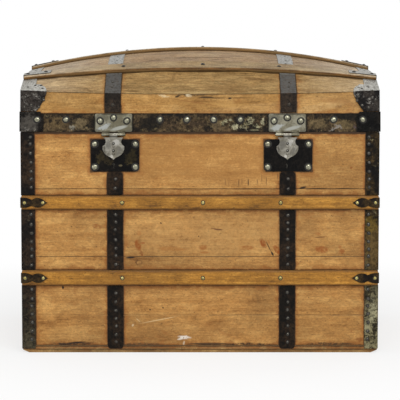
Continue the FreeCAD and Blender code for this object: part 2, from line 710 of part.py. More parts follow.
def hasp(x):
    """Embossed shield with its knuckle above and the lock hook on its back."""
    r, k = KNUCKLE_RADIUS, PIN_OUT
    deep = (0.0, 3 * PIN_OUT)
    leaf = front_outline(hasp_outline(x), deep).common(hasp_sheet(x, LEAF_BACK, r))
    boss = front_outline(hasp_outline(x, 0.66), deep).common(hasp_sheet(x, r, r + 0.9))
    half = HASP_KNUCKLE / 2
    strap = block((x - half, x + half), (-HALF_D - k - r, -HALF_D - k - LEAF_BACK),
                  (PIN_Z - 2.5 * r, PIN_Z))
    barrel = pin_bar(x - half, x + half, r)
    hook_z = (PIN_Z - NOSE_DOWN - NOSE[1] / 2, PIN_Z - NOSE_DOWN + NOSE[1] / 2)
    hook = block((x - NOSE[0] / 2, x + NOSE[0] / 2),
                 (-HALF_D - k - LEAF_BACK - HASP_THICKNESS / 2, -HALF_D - k - NOSE_TIP), hook_z)
    eye = block((x - NOSE[0], x + NOSE[0]),
                (-HALF_D - k - EYE_OUT - EYE_DEPTH / 2, -HALF_D - k - EYE_OUT + EYE_DEPTH / 2),
                (PIN_Z - NOSE_DOWN - EYE_HEIGHT / 2, PIN_Z - NOSE_DOWN + EYE_HEIGHT / 2))
    shape = leaf.fuse([boss, strap, barrel, hook.cut(eye)])
    for down in HASP_RIVETS_DOWN:
        rivet = small_head(HASP_RIVET)
        shape = shape.fuse(moved(rivet, V(x, -HALF_D - k - r - 0.8, PIN_Z - down)))
    bore = hole(pin_place(x - HASP_KNUCKLE), pin_place(x + HASP_KNUCKLE),
                PIN_RADIUS + PIN_CLEARANCE)
    return shape.cut(bore)


def lock_nails(x):
    left, up = LOCK_NAIL_INSET
    x_in, z_mid = LOCK_PLATE[0] / 2 - left, LOCK_PLATE_TOP - LOCK_PLATE[1] / 2
    z_in = LOCK_PLATE[1] / 2 - up
    return [moved(dome(LOCK_NAIL), V(x + sx * x_in, -HALF_D - PLATE_FACE, z_mid + sz * z_in))
            for sx in (-1, 1) for sz in (-1, 1)]


def make_locks():
    middles = [x + off for x, off in zip(LATCH_X, LOCK_OFF)]
    for side, x, middle in zip(("left", "right"), LATCH_X, middles):
        write(side + "_lock_plate", lock_plate(x, middle))
        write(side + "_lock_case", lock_case(x))
        write(side + "_lock_spring", lock_spring(x))
        write(side + "_lock_bolt", lock_bolt(x))
        write(side + "_hasp", hasp(x))
    write("lock_plate_nails", [nail for x in middles for nail in lock_nails(x)])
    write("latch_plates", [latch_plate(x) for x in LATCH_X])
    write("latch_pins", [latch_pin(x) for x in LATCH_X])


# ---------------------------------------------------------------- hinges
HINGE_Y = HALF_D + HINGE_OUT
HINGE_Z = BODY_TOP + LID_GAP / 2


def hinge_knuckles(x, first):
    """Every second knuckle of a hinge, starting with number first."""
    length = HINGE_WIDTH / HINGE_KNUCKLES
    start = x - HINGE_WIDTH / 2
    return [(start + i * length + KNUCKLE_GAP / 2, start + (i + 1) * length - KNUCKLE_GAP / 2)
            for i in range(first, HINGE_KNUCKLES, 2)]


def hinge_bar(x_lo, x_hi, radius, shape=bar):
    return shape(V(x_lo, -HINGE_Y, HINGE_Z), V(x_hi, -HINGE_Y, HINGE_Z), radius)


def hinge_leaf(x, leaf, web, first):
    bore = hinge_bar(x - HINGE_WIDTH, x + HINGE_WIDTH, HINGE_PIN + PIN_CLEARANCE, hole)
    for ends in hinge_knuckles(x, first):
        leaf = leaf.fuse([hinge_bar(*ends, HINGE_RADIUS), out_prism(web, *ends)])
    return to_back(leaf.cut(bore))


def body_leaf(x):
    r, k, face = HINGE_RADIUS, HINGE_OUT, SEAT + PLATE
    top = BODY_TOP - k
    leaf = rounded_plate((x - HINGE_WIDTH / 2, x + HINGE_WIDTH / 2), (top - HINGE_LEAF, top),
                         (SEAT, face), STRAP_CORNER)
    web = [(SEAT, top - STRAP_CORNER), (face, top - STRAP_CORNER), (k, HINGE_Z - r),
           (k, HINGE_Z - HINGE_PIN - SEAT), (k - r, HINGE_Z - SEAT), (SEAT, top + STRAP_CORNER / 2)]
    return hinge_leaf(x, leaf, web, 0)


def lid_leaf(x):
    r, k = HINGE_RADIUS, HINGE_OUT
    out = SEAT + IRON + SEAT
    foot = LID_BOTTOM + k
    leaf = lean_back(rounded_plate((x - HINGE_WIDTH / 2, x + HINGE_WIDTH / 2),
                                   (foot, foot + LATCH_PLATE[1]), (out, out + PLATE),
                                   STRAP_CORNER))
    web = [(out, foot + STRAP_CORNER), (out, HINGE_Z + r), (k - r, HINGE_Z + SEAT),
           (k, HINGE_Z + HINGE_PIN + SEAT), (k, HINGE_Z + r), (out + PLATE - SEAT, foot + STRAP_CORNER)]
    return hinge_leaf(x, leaf, web, 1)


def hinge_pin(x):
    half = HINGE_WIDTH / 2 + 1.5
    return to_back(hinge_bar(x - half, x + half, HINGE_PIN))


# ---------------------------------------------------------------- handles
def handle_plate():
    """Plate on the left end with two eyes for the bail."""
    height, length = HANDLE_PLATE[1], HANDLE_PLATE[0]
    r = BAIL_RADIUS + PIN_CLEARANCE
    face = -HALF_W - PLATE_FACE
    flat = rounded_plate((-HALF_W - length / 2, -HALF_W + length / 2),
                         (HANDLE_Z - height / 2, HANDLE_Z + height / 2), (SEAT, PLATE_FACE),
                         height * 0.42)
    plate = turned_to_end(flat)
    plate.translate(V(0, HALF_D, 0))
    outer = r + EYE_WALL
    pivot = -HALF_W - HANDLE_OUT
    for side in (-1, 1):
        y0 = side * (BAIL_WIDTH / 2 + BAIL_BEND + EYE_WIDTH) - EYE_WIDTH / 2
        ends = (V(pivot, y0, HANDLE_Z), V(pivot, y0 + EYE_WIDTH, HANDLE_Z))
        foot = block((pivot, face + SEAT), (y0, y0 + EYE_WIDTH),
                     (HANDLE_Z - outer, HANDLE_Z + outer))
        plate = plate.fuse([bar(*ends, outer), foot]).cut(hole(*ends, r))
    return plate.removeSplitter()


def bail():
    """Round iron bent into a bail, its two ends turned out through the eyes."""
    half, bend, drop = BAIL_WIDTH / 2, BAIL_BEND, BAIL_DROP
    slack = bend * (1 - math.sqrt(0.5))

    def p(y, down):
        return V(-HALF_W - HANDLE_OUT, y, HANDLE_Z - down)

    right = ([p(half + BAIL_STUB, 0)]
             + arc(p(half + bend, 0), p(half + slack, slack), p(half, bend))
             + arc(p(half, drop - bend), p(half - slack, drop - slack), p(half - bend, drop)))
    path = right + [V(q.x, -q.y, q.z) for q in reversed(right)]
    runs = [(path[i + 1] - path[i]).normalize() for i in range(len(path) - 1)]
    rings = []
    for i, place in enumerate(path):
        before, after = runs[max(i - 1, 0)], runs[min(i, len(runs) - 1)]
        mitre = (before + after) / (1 + before.dot(after))
        rings.append(ring(place, V(BAIL_RADIUS, 0, 0), V(1, 0, 0).cross(mitre) * BAIL_RADIUS))
    return faceted(rings)


def make_hinges_and_handles():
    write("hinge_body_leaves", [body_leaf(x) for x in HINGE_X])
    write("hinge_lid_leaves", [lid_leaf(x) for x in HINGE_X])
    write("hinge_pins", [hinge_pin(x) for x in HINGE_X])
    write("left_handle_plate", handle_plate())
    write("right_handle_plate", to_right(handle_plate()))
    write("left_bail", bail())
    write("right_bail", to_right(bail()))


# ---------------------------------------------------------------- lid
RIDGE_SLAT = (TOP_T + RIDGE_SLAT_MARGIN, TOP_T + 1 - RIDGE_SLAT_MARGIN)
FRONT_SLAT = (2.0, FRONT_SLAT_END)
BACK_SLAT = (END_T - FRONT_SLAT_END, END_T - 2.0)
SLIT = 0.02                    # gap beside a slat, counted in board widths


def lid_end():
    """Left end board, under the staves and between the front and back boards."""
    inside = -LID_BOARD - SEAT
    wires = []
    for x in (-HALF_W, -HALF_W + LID_BOARD):
        side = [lid_point(x, float(t), inside) for t in range(END_T + 1)]
        wires.append(Part.makePolygon(side + side[:1]))
    return Part.makeLoft(wires, True, True)


def make_lid_wood():
    whole = (-HALF_W, HALF_W)
    boards = (-LID_BOARD, 0.0)
    write("lid_front_board", lid_patch(*whole, 0.0, 1.0, boards))
    write("lid_front_shoulder", lid_patch(*whole, 1.0, 2.0, boards))
    write("lid_staves", [lid_patch(*whole, float(t), t + 1.0, boards)
                         for t in range(2, END_T - 2)])
    write("lid_back_boards", [lid_patch(*whole, float(t), t + 1.0, boards)
                              for t in (END_T - 2, END_T - 1)])
    write("lid_left_end", lid_end())
    write("lid_right_end", to_right(lid_end()))
    for name, span in (("lid_front_slat", FRONT_SLAT), ("lid_ridge_slat", RIDGE_SLAT),
                       ("lid_back_slat", BACK_SLAT)):
        write(name, lid_patch(*whole, *span, (0.0, LID_SLAT_THICKNESS), SLAT_BEVEL))


def lid_slat_clamp(span):
    """Clamp over the left end of a lid slat and down the end of the lid."""
    inset = (span[1] - span[0]) * 0.2
    t = (span[0] + inset, span[1] - inset)
    top = (LID_SLAT_THICKNESS + DOME_SEAT, LID_SLAT_THICKNESS + DOME_SEAT + PLATE)
    edge = -HALF_W - PLATE_FACE
    over = lid_patch(edge, -HALF_W + CLAMP_REACH, *t, top)
    down = lid_rim(edge, -HALF_W - SEAT, *t, (-BINDING_DROP, top[0] + PLATE / 2))
    return over.fuse(down)


def edge_binding(t_lo, t_hi):
    """Iron bent over the edge of the dome, at its left end."""
    offsets = (DOME_SEAT, DOME_SEAT + IRON)
    edge = -HALF_W - SEAT - IRON
    over = lid_patch(edge, -HALF_W + BINDING_WIDTH, t_lo, t_hi, offsets)
    down = lid_rim(edge, -HALF_W - SEAT, t_lo, t_hi, (-BINDING_DROP, DOME_SEAT + IRON / 2))
    return over.fuse(down)


def lid_corner_iron():
    """Lobed iron over the left front corner of the dome, above the band."""
    t_lo, t_hi = (BAND_CLAMP_HEIGHT + 2 * LID_GAP) / LID_FRONT_HEIGHT, 1.5
    offsets = (SEAT + IRON + SEAT, SEAT + IRON + SEAT + IRON)
    edge = -HALF_W - SEAT - IRON
    over = lid_patch(edge, -HALF_W + CORNER_IRON_REACH, t_lo, t_hi, offsets)
    low = lid_point(-HALF_W, t_lo, 0).z
    seam = LID_BOTTOM + LID_FRONT_HEIGHT
    high = lid_point(-HALF_W, t_hi, offsets[1]).z + CROWN_RISE / 4
    reach = CORNER_IRON_REACH
    y = -HALF_D - 4 * PLATE

    def p(along, z):
        return V(edge + along * reach, y, z)

    foot = arc(p(0.60, low), p(0.87, (low + seam) / 2), p(1.0, seam - 0.08 * reach))
    lobe = arc(p(1.0, seam - 0.08 * reach), p(0.97, seam + 0.08 * reach), p(0.78, seam + 0.2 * reach))
    outline = [p(-SEAT, low)] + foot + lobe[1:] + [p(0.6, high), p(-SEAT, high)]
    cutter = flat_face(outline).extrude(V(0, HALF_D, 0))
    down = lid_rim(edge, -HALF_W - SEAT, t_lo, 1.0, (-BINDING_DROP, offsets[0] + IRON / 2))
    down = down.cut(block((-WIDTH, 0), (-DEPTH, DEPTH), (0, low)))
    return over.common(cutter).fuse(down)


def band():
    """Iron band round the foot of the lid: two leaning strips and two flat end strips."""
    offsets = (SEAT, SEAT + IRON)
    front = lean_back(block((-HALF_W, HALF_W), (-HALF_D - offsets[1], -HALF_D - offsets[0]),
                            (LID_BOTTOM, LID_BOTTOM + BAND_HEIGHT)))
    front = front.cut(block((-WIDTH, WIDTH), (-DEPTH, 0), (0, LID_BOTTOM)))
    low, high = lid_point(HALF_W, 0.0, offsets[1]), lid_point(HALF_W, BAND_T, offsets[1])
    profile = [(low.y, low.z), (high.y, high.z), (-high.y, high.z), (-low.y, low.z)]
    end = prism_x(profile, -HALF_W - SEAT - IRON, -HALF_W - SEAT)
    return [front, to_back(front), end, to_right(end)]


def band_clamp_outline(z, reach):
    """Leaf of a band clamp: straight, with a bulging inner end."""
    x0 = -HALF_W - SEAT - IRON - SEAT - PLATE
    low, high = z
    neck = x0 + reach * 0.86
    bulge = arc(V(neck, 0, high), V(x0 + reach, 0, (low + high) / 2), V(neck, 0, low))
    return [V(x0, 0, low), V(x0, 0, high)] + bulge


def band_clamp():
    """Clamp round the left front corner of the band."""
    z = (LID_BOTTOM + LID_GAP, LID_BOTTOM + LID_GAP + BAND_CLAMP_HEIGHT)
    out = SEAT + IRON + SEAT
    outline = band_clamp_outline(z, BAND_CLAMP_REACH)
    front = lean_back(front_outline(outline, (out, out + PLATE)))
    end = turned_to_end(front_outline(outline, (out, out + PLATE)))
    over = lid_point(-HALF_W, BAND_T, out + PLATE).y
    end = end.cut(block((-WIDTH, 0), (-DEPTH, over), (0, 2 * BODY_TOP)))
    return front.fuse(end)


def lid_nail(nail, x, t, out):
    """Nail standing on the lid, or on an iron on it, at board-edge count t."""
    along = lid_point(x + 1, t, out) - lid_point(x - 1, t, out)
    across = lid_point(x, t + 0.1, out) - lid_point(x, t - 0.1, out)
    head = nail.copy()
    head.Placement = FreeCAD.Placement(lid_point(x, t, out + 2 * SEAT),
                                       FreeCAD.Rotation(V(0, 0, 1), along.cross(across)))
    return head


def band_nails():
    """Domed nails of the band, its clamps and the latch plates."""
    up = BAND_NAIL_UP
    face = SEAT + IRON
    clamp_face = face + SEAT + PLATE

    def on_front(x, height, out):
        return lean_back(moved(dome(DOME_NAIL), V(x, -HALF_D - out, LID_BOTTOM + height)))

    front = [on_front(x, up, face) for x in BAND_NAIL_X]
    corners = [on_front(side * (HALF_W - BAND_CLAMP_NAIL), up, clamp_face) for side in (-1, 1)]
    latches = [on_front(x + step * LATCH_NAIL_OUT, LATCH_NAIL_UP[abs(step)], clamp_face)
               for x in LATCH_X for step in (-1, 0, 1)]
    left = [moved(dome(DOME_NAIL, V(-1, 0, 0)), V(-HALF_W - face, y, LID_BOTTOM + up))
            for y in END_NAIL_Y]
    back = [to_back(nail) for nail in corners]
    return front + corners + latches + left + [to_right(nail) for nail in left] + back


def make_lid_iron():
    spans = (FRONT_SLAT, RIDGE_SLAT, BACK_SLAT)
    clamps = [lid_slat_clamp(span) for span in spans]
    write("lid_slat_clamps", clamps + [to_right(clamp) for clamp in clamps])
    corner = 1.5 + SLIT
    edges = (corner, FRONT_SLAT[0] - SLIT, FRONT_SLAT[1] + SLIT, RIDGE_SLAT[0] - SLIT,
             RIDGE_SLAT[1] + SLIT, BACK_SLAT[0] - SLIT, BACK_SLAT[1] + SLIT, END_T - corner)
    bindings = [edge_binding(*ends) for ends in zip(edges[::2], edges[1::2])]
    write("lid_edge_bindings", bindings + [to_right(piece) for piece in bindings])
    fronts, backs = four_corners(lid_corner_iron())
    write("lid_corner_irons", fronts + backs)
    write("lid_band", band())
    fronts, backs = four_corners(band_clamp())
    write("band_corner_clamps", fronts + backs)
    above_latch = (LATCH_PLATE[1] + LID_GAP + PLATE) / (LID_FRONT_HEIGHT - LID_FRONT_DIP)
    edges = (above_latch,) + edges[1:-1] + (END_T - above_latch * 1.25,)
    write("lid_straps", [
        lid_patch(x - STRAP_WIDTH / 2, x + STRAP_WIDTH / 2, *ends, (DOME_SEAT, DOME_SEAT + IRON))
        for x in LID_STRAP_X for ends in zip(edges[::2], edges[1::2])])
    write("band_dome_nails", band_nails())
    heads = []
    for t in [sum(span) / 2 for span in spans]:
        heads += [lid_nail(small_head(SLAT_NAIL, V(0, 0, 1)), x, t, LID_SLAT_THICKNESS)
                  for x in SLAT_NAIL_X]
        out = LID_SLAT_THICKNESS + DOME_SEAT + PLATE
        heads += [lid_nail(small_head(SLAT_NAIL, V(0, 0, 1)), side * (HALF_W - along), t, out)
                  for along in CLAMP_NAIL_IN for side in (-1, 1)]
    write("lid_slat_nails", heads)


os.makedirs("parts", exist_ok=True)
make_body_wood()
make_body_fittings()
make_locks()
make_hinges_and_handles()
make_lid_wood()
make_lid_iron()
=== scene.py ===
import json
import math

import bmesh
import bpy
import numpy as np
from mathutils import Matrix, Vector
from mathutils.bvhtree import BVHTree

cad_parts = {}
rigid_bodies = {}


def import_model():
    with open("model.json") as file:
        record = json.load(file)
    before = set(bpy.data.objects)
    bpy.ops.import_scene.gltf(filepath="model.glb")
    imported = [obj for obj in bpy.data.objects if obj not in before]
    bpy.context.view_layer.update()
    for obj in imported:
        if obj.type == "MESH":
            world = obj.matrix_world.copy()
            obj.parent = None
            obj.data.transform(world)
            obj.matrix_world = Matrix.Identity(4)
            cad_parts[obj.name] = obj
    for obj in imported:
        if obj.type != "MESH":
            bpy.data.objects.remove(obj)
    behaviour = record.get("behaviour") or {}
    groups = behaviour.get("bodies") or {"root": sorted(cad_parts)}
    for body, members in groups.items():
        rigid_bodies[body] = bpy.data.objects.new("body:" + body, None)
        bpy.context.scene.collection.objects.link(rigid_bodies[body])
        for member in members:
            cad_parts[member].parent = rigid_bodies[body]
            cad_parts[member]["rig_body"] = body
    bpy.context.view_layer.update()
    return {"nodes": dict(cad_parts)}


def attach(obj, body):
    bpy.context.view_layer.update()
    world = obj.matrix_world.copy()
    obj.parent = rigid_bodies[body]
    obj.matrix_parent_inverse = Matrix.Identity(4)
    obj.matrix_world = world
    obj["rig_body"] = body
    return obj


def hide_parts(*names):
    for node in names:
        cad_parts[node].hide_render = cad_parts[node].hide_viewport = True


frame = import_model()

NODES = frame["nodes"]
SCENE = bpy.context.scene
MM = 0.001


# ---------------------------------------------------------------- small tools
def colour(hex_code):
    """Linear colour of an sRGB hex code."""
    parts = [int(hex_code[i:i + 2], 16) / 255 for i in (1, 3, 5)]
    linear = [c / 12.92 if c <= 0.04045 else ((c + 0.055) / 1.055) ** 2.4 for c in parts]
    return (*linear, 1.0)


def per(mm):
    """Scale at which one feature of a pattern is mm wide."""
    return 1000.0 / mm


def add(tree, kind, *links, out=0, stops=(), **settings):
    """One node with its settings, and the output that out names.

    A link is (input, value, hex colour or socket), and stops are the (place, tint) of a colour ramp.
    """
    node = tree.nodes.new("ShaderNode" + kind)
    for key, value in settings.items():
        setattr(node, key, value)
    for number, (place, tint) in enumerate(stops):
        points = node.color_ramp.elements
        node.color_ramp.interpolation = "EASE"
        point = points[number] if number < 2 else points.new(place)
        point.position = place
        point.color = colour(tint) if isinstance(tint, str) else (tint, tint, tint, 1.0)
    for socket, value in links:
        if isinstance(value, bpy.types.NodeSocket):
            tree.links.new(value, node.inputs[socket])
        else:
            node.inputs[socket].default_value = colour(value) if isinstance(value, str) else value
    return node.outputs[out] if node.outputs else node


def new_finish(name):
    """Empty material, its tree, and the place on the object that its patterns read."""
    material = bpy.data.materials.new(name)
    material.use_nodes = True
    tree = material.node_tree
    tree.nodes.clear()
    return material, tree, add(tree, "TexCoord", out="Object")


def close_finish(tree, tint, roughness, height, depth, *more):
    """Principled shader with a bump of depth mm and whatever more it is given."""
    normal = add(tree, "Bump", ("Height", height), ("Distance", depth * MM))
    shader = add(tree, "BsdfPrincipled", ("Base Color", tint), ("Roughness", roughness),
                 ("Normal", normal), *more)
    add(tree, "OutputMaterial", ("Surface", shader))


def mottling(tree, place, mm, detail=5.0, roughness=0.62, distortion=0.0):
    """Cloudy pattern whose features are mm wide along each axis."""
    sized = add(tree, "Mapping", ("Vector", place), ("Scale", tuple(per(m) for m in mm)))
    return add(tree, "TexNoise", ("Vector", sized), ("Scale", 1.0), ("Detail", detail),
               ("Roughness", roughness), ("Distortion", distortion))


# ---------------------------------------------------------------- where things lie, in mm
LATCH_X = (-191.0, 193.0)
STRAP_X = (-188.5, 194.3)
LID_STRAP_X = (-193.0, 196.0)
HINGE_X = (-191.0, 194.5)
# the place of the lens, from which the tacks at the front of the lid are set out too
EYE = (0.0, -3550.0, 682.0)
# the plane of the front, and how far its marks reach through it
FRONT_Y, MARK_DEPTH = -250.0, 320.0
# half the size of a box along an axis on which it has no ends
ENDLESS = 9000.0
# (low x, high x, low z, high z) of what lies on the front boards
FRONT_IRONS = (
    (-400.0, -367.0, 0.0, 494.0), (367.0, 400.0, 0.0, 494.0),
    (-205.7, -171.2, 0.0, 410.0), (177.0, 211.6, 0.0, 410.0),
    (-396.0, 396.0, 153.0, 186.0), (-396.0, 396.0, 322.5, 353.0),
    (-241.5, -134.5, 406.5, 477.5), (141.5, 248.5, 406.5, 477.5),
    (-396.0, 396.0, 491.0, 540.0), (-396.0, 396.0, -10.0, 16.0))
# the back has the hinges' leaves where the front has its lock plates
BACK_IRONS = (*FRONT_IRONS[:6], *FRONT_IRONS[8:],
              (-223.0, -159.0, 440.0, 494.0), (162.5, 226.5, 440.0, 494.0))
# what lies on the band of the lid: the latch plates, the edges of the clamps and the foot of the boards
ON_BAND = tuple((x - 41.5, x + 41.5, 480.0, 534.5) for x in LATCH_X) + (
    (-352.0, -348.0, 490.0, 540.0), (348.0, 352.0, 490.0, 540.0), (-400.0, 400.0, 535.5, 540.0))
# the joint of the front boards with the floor boards under them
BASE_JOINT = ((-396.0, 396.0, 15.5, 30.0),)
BASE_SEAM = ((-396.0, 396.0, 8.0, 8.0),)
FRONT_SEAMS = ((-367.0, 367.0, 216.9, 216.9), (-367.0, 367.0, 368.0, 368.0), (20.0, 367.0, 85.0, 85.0))
# the same on an end board, as (low y, high y, low z, high z)
END_IRONS = (
    (-260.0, -221.0, 0.0, 494.0), (221.0, 260.0, 0.0, 494.0),
    (-84.0, 84.0, 292.0, 344.0), (-250.0, 250.0, 491.0, 540.0),
    (-250.0, 250.0, -10.0, 16.0))
END_SEAMS = tuple((-221.0, 221.0, z, z) for z in (85.0, 216.9, 368.0))
# and on the front of the lid, with the meeting of its two boards
LID_IRONS = (
    (-210.3, -175.7, 530.0, 640.0), (178.7, 213.3, 530.0, 640.0), (-400.0, 400.0, 490.0, 536.0))
LID_SEAMS = ((-340.0, 340.0, 584.4, 584.4),)
# the lid's slats and the meetings of its staves, as (low y, high y, low z, high z)
DOME_SLATS = ((-18.7, 18.7, 580.0, 700.0), (-188.0, -148.0, 580.0, 700.0), (148.0, 188.0, 580.0, 700.0))
STAVE_SEAMS = tuple((y, y, 580.0, 700.0) for y in (-102.5, -61.2, 61.2, 102.5))
# rows of tacks down the body's irons
CORNER_TACKS = (483.0, 467.2, 446.3, 426.7, 407.5, 389.9, 370.6, 311.3, 289.0, 269.7, 251.0, 234.0, 216.9,
                198.0, 142.5, 122.9, 106.0, 88.7, 69.3, 49.5, 31.0)
STRAP_TACKS = (389.7, 368.6, 309.8, 293.3, 276.4, 255.0, 235.8, 218.7, 200.0, 135.6, 114.7, 96.4, 78.2,
               60.6, 41.9, 24.7)


def beside(tree, place, irons, across):
    """Distance in metres to the nearest of the irons, over the plane of axis across and z.

    It is the length of what the offset from an iron's middle has over the iron's half size, on each axis.
    """
    nearest = None
    for low, high, bottom, top in irons:
        middle = [0.0, 0.0, (bottom + top) / 2 * MM]
        half = [ENDLESS * MM, ENDLESS * MM, (top - bottom) / 2 * MM]
        middle[across], half[across] = (low + high) / 2 * MM, (high - low) / 2 * MM
        away = add(tree, "VectorMath", (0, place), (1, middle), operation="SUBTRACT")
        away = add(tree, "VectorMath", (0, away), operation="ABSOLUTE")
        away = add(tree, "VectorMath", (0, away), (1, half), operation="SUBTRACT")
        away = add(tree, "VectorMath", (0, away), (1, (0, 0, 0)), operation="MAXIMUM")
        far = add(tree, "VectorMath", (0, away), operation="LENGTH", out="Value")
        nearest = far if nearest is None else add(tree, "Math", (0, nearest), (1, far),
                                                  operation="MINIMUM")
    return nearest


def spotted(tree, place, tint, marks, soft=0.5, fray=8.0, least=3.2, sparse=0.25):
    """Tint of the front with each mark on it.

    A mark is an ellipse turned clockwise about its own middle, full out to the share soft of its reach and
    fading to nothing at its rim. Where it is larger than least, a cloud frays its rim by fray mm and
    leaves only the share sparse of it in the thin places.
    """
    cloud = add(tree, "TexNoise", ("Vector", place), ("Scale", per(9.0)), ("Detail", 5.0),
                ("Roughness", 0.75), out=1)
    thin = add(tree, "ValToRGB", (0, add(tree, "SeparateXYZ", (0, cloud), out="Y")),
               stops=((0.38, sparse), (0.56, 1.0)))
    frayed = add(tree, "VectorMath", (0, cloud), (1, (0.5, 0.5, 0.5)), operation="SUBTRACT")
    frayed = add(tree, "VectorMath", (0, frayed), (1, (fray * MM, 0.0, fray * MM)), (2, place),
                 operation="MULTIPLY_ADD")
    for x, z, half_x, half_z, tilt, mark, strength in marks:
        large = min(half_x, half_z) > least
        spot = add(tree, "Mapping", ("Vector", frayed if large else place),
                   ("Location", (x * MM, FRONT_Y * MM, z * MM)),
                   ("Rotation", (0.0, math.radians(tilt), 0.0)),
                   ("Scale", (half_x * MM, MARK_DEPTH * MM, half_z * MM)), vector_type="TEXTURE")
        spot = add(tree, "VectorMath", (0, spot), operation="LENGTH", out="Value")
        share = add(tree, "ValToRGB", (0, spot), stops=((soft, strength), (1.0, 0.0)))
        if large and sparse < 1.0:
            share = add(tree, "Math", (0, share), (1, thin), operation="MULTIPLY")
        tint = add(tree, "Mix", (0, share), (6, tint), (7, mark), out=2, data_type="RGBA")
    return tint


# ---------------------------------------------------------------- finishes: wood
# the second darkens specks of dirt, and the rims beside the irons, slats and joints, where it is dirt with
# painted contact shade
RUST, GRIME_AND_SHADE, SEAM_DIRT = "#8E5420", "#1E140B", "#171311"
BARE_WOOD, BLEACHED_WOOD = "#C8A670", "#EAD9BE"
# a point inside the trunk, in metres: a face turned away from it is an outer one
HEART = (0.0, 0.0, 0.3)
# the square of the 0.396 m from the middle of the lid to its ends
LID_END_SQUARED = 0.157
# how far from the middle, in metres, the top begins to bleach and is bleached most
BLEACH_FROM, BLEACH_TO = 0.20, 0.41
# what the dark edge of a slat reaches into it, in mm
EDGE_REACH = 6.5


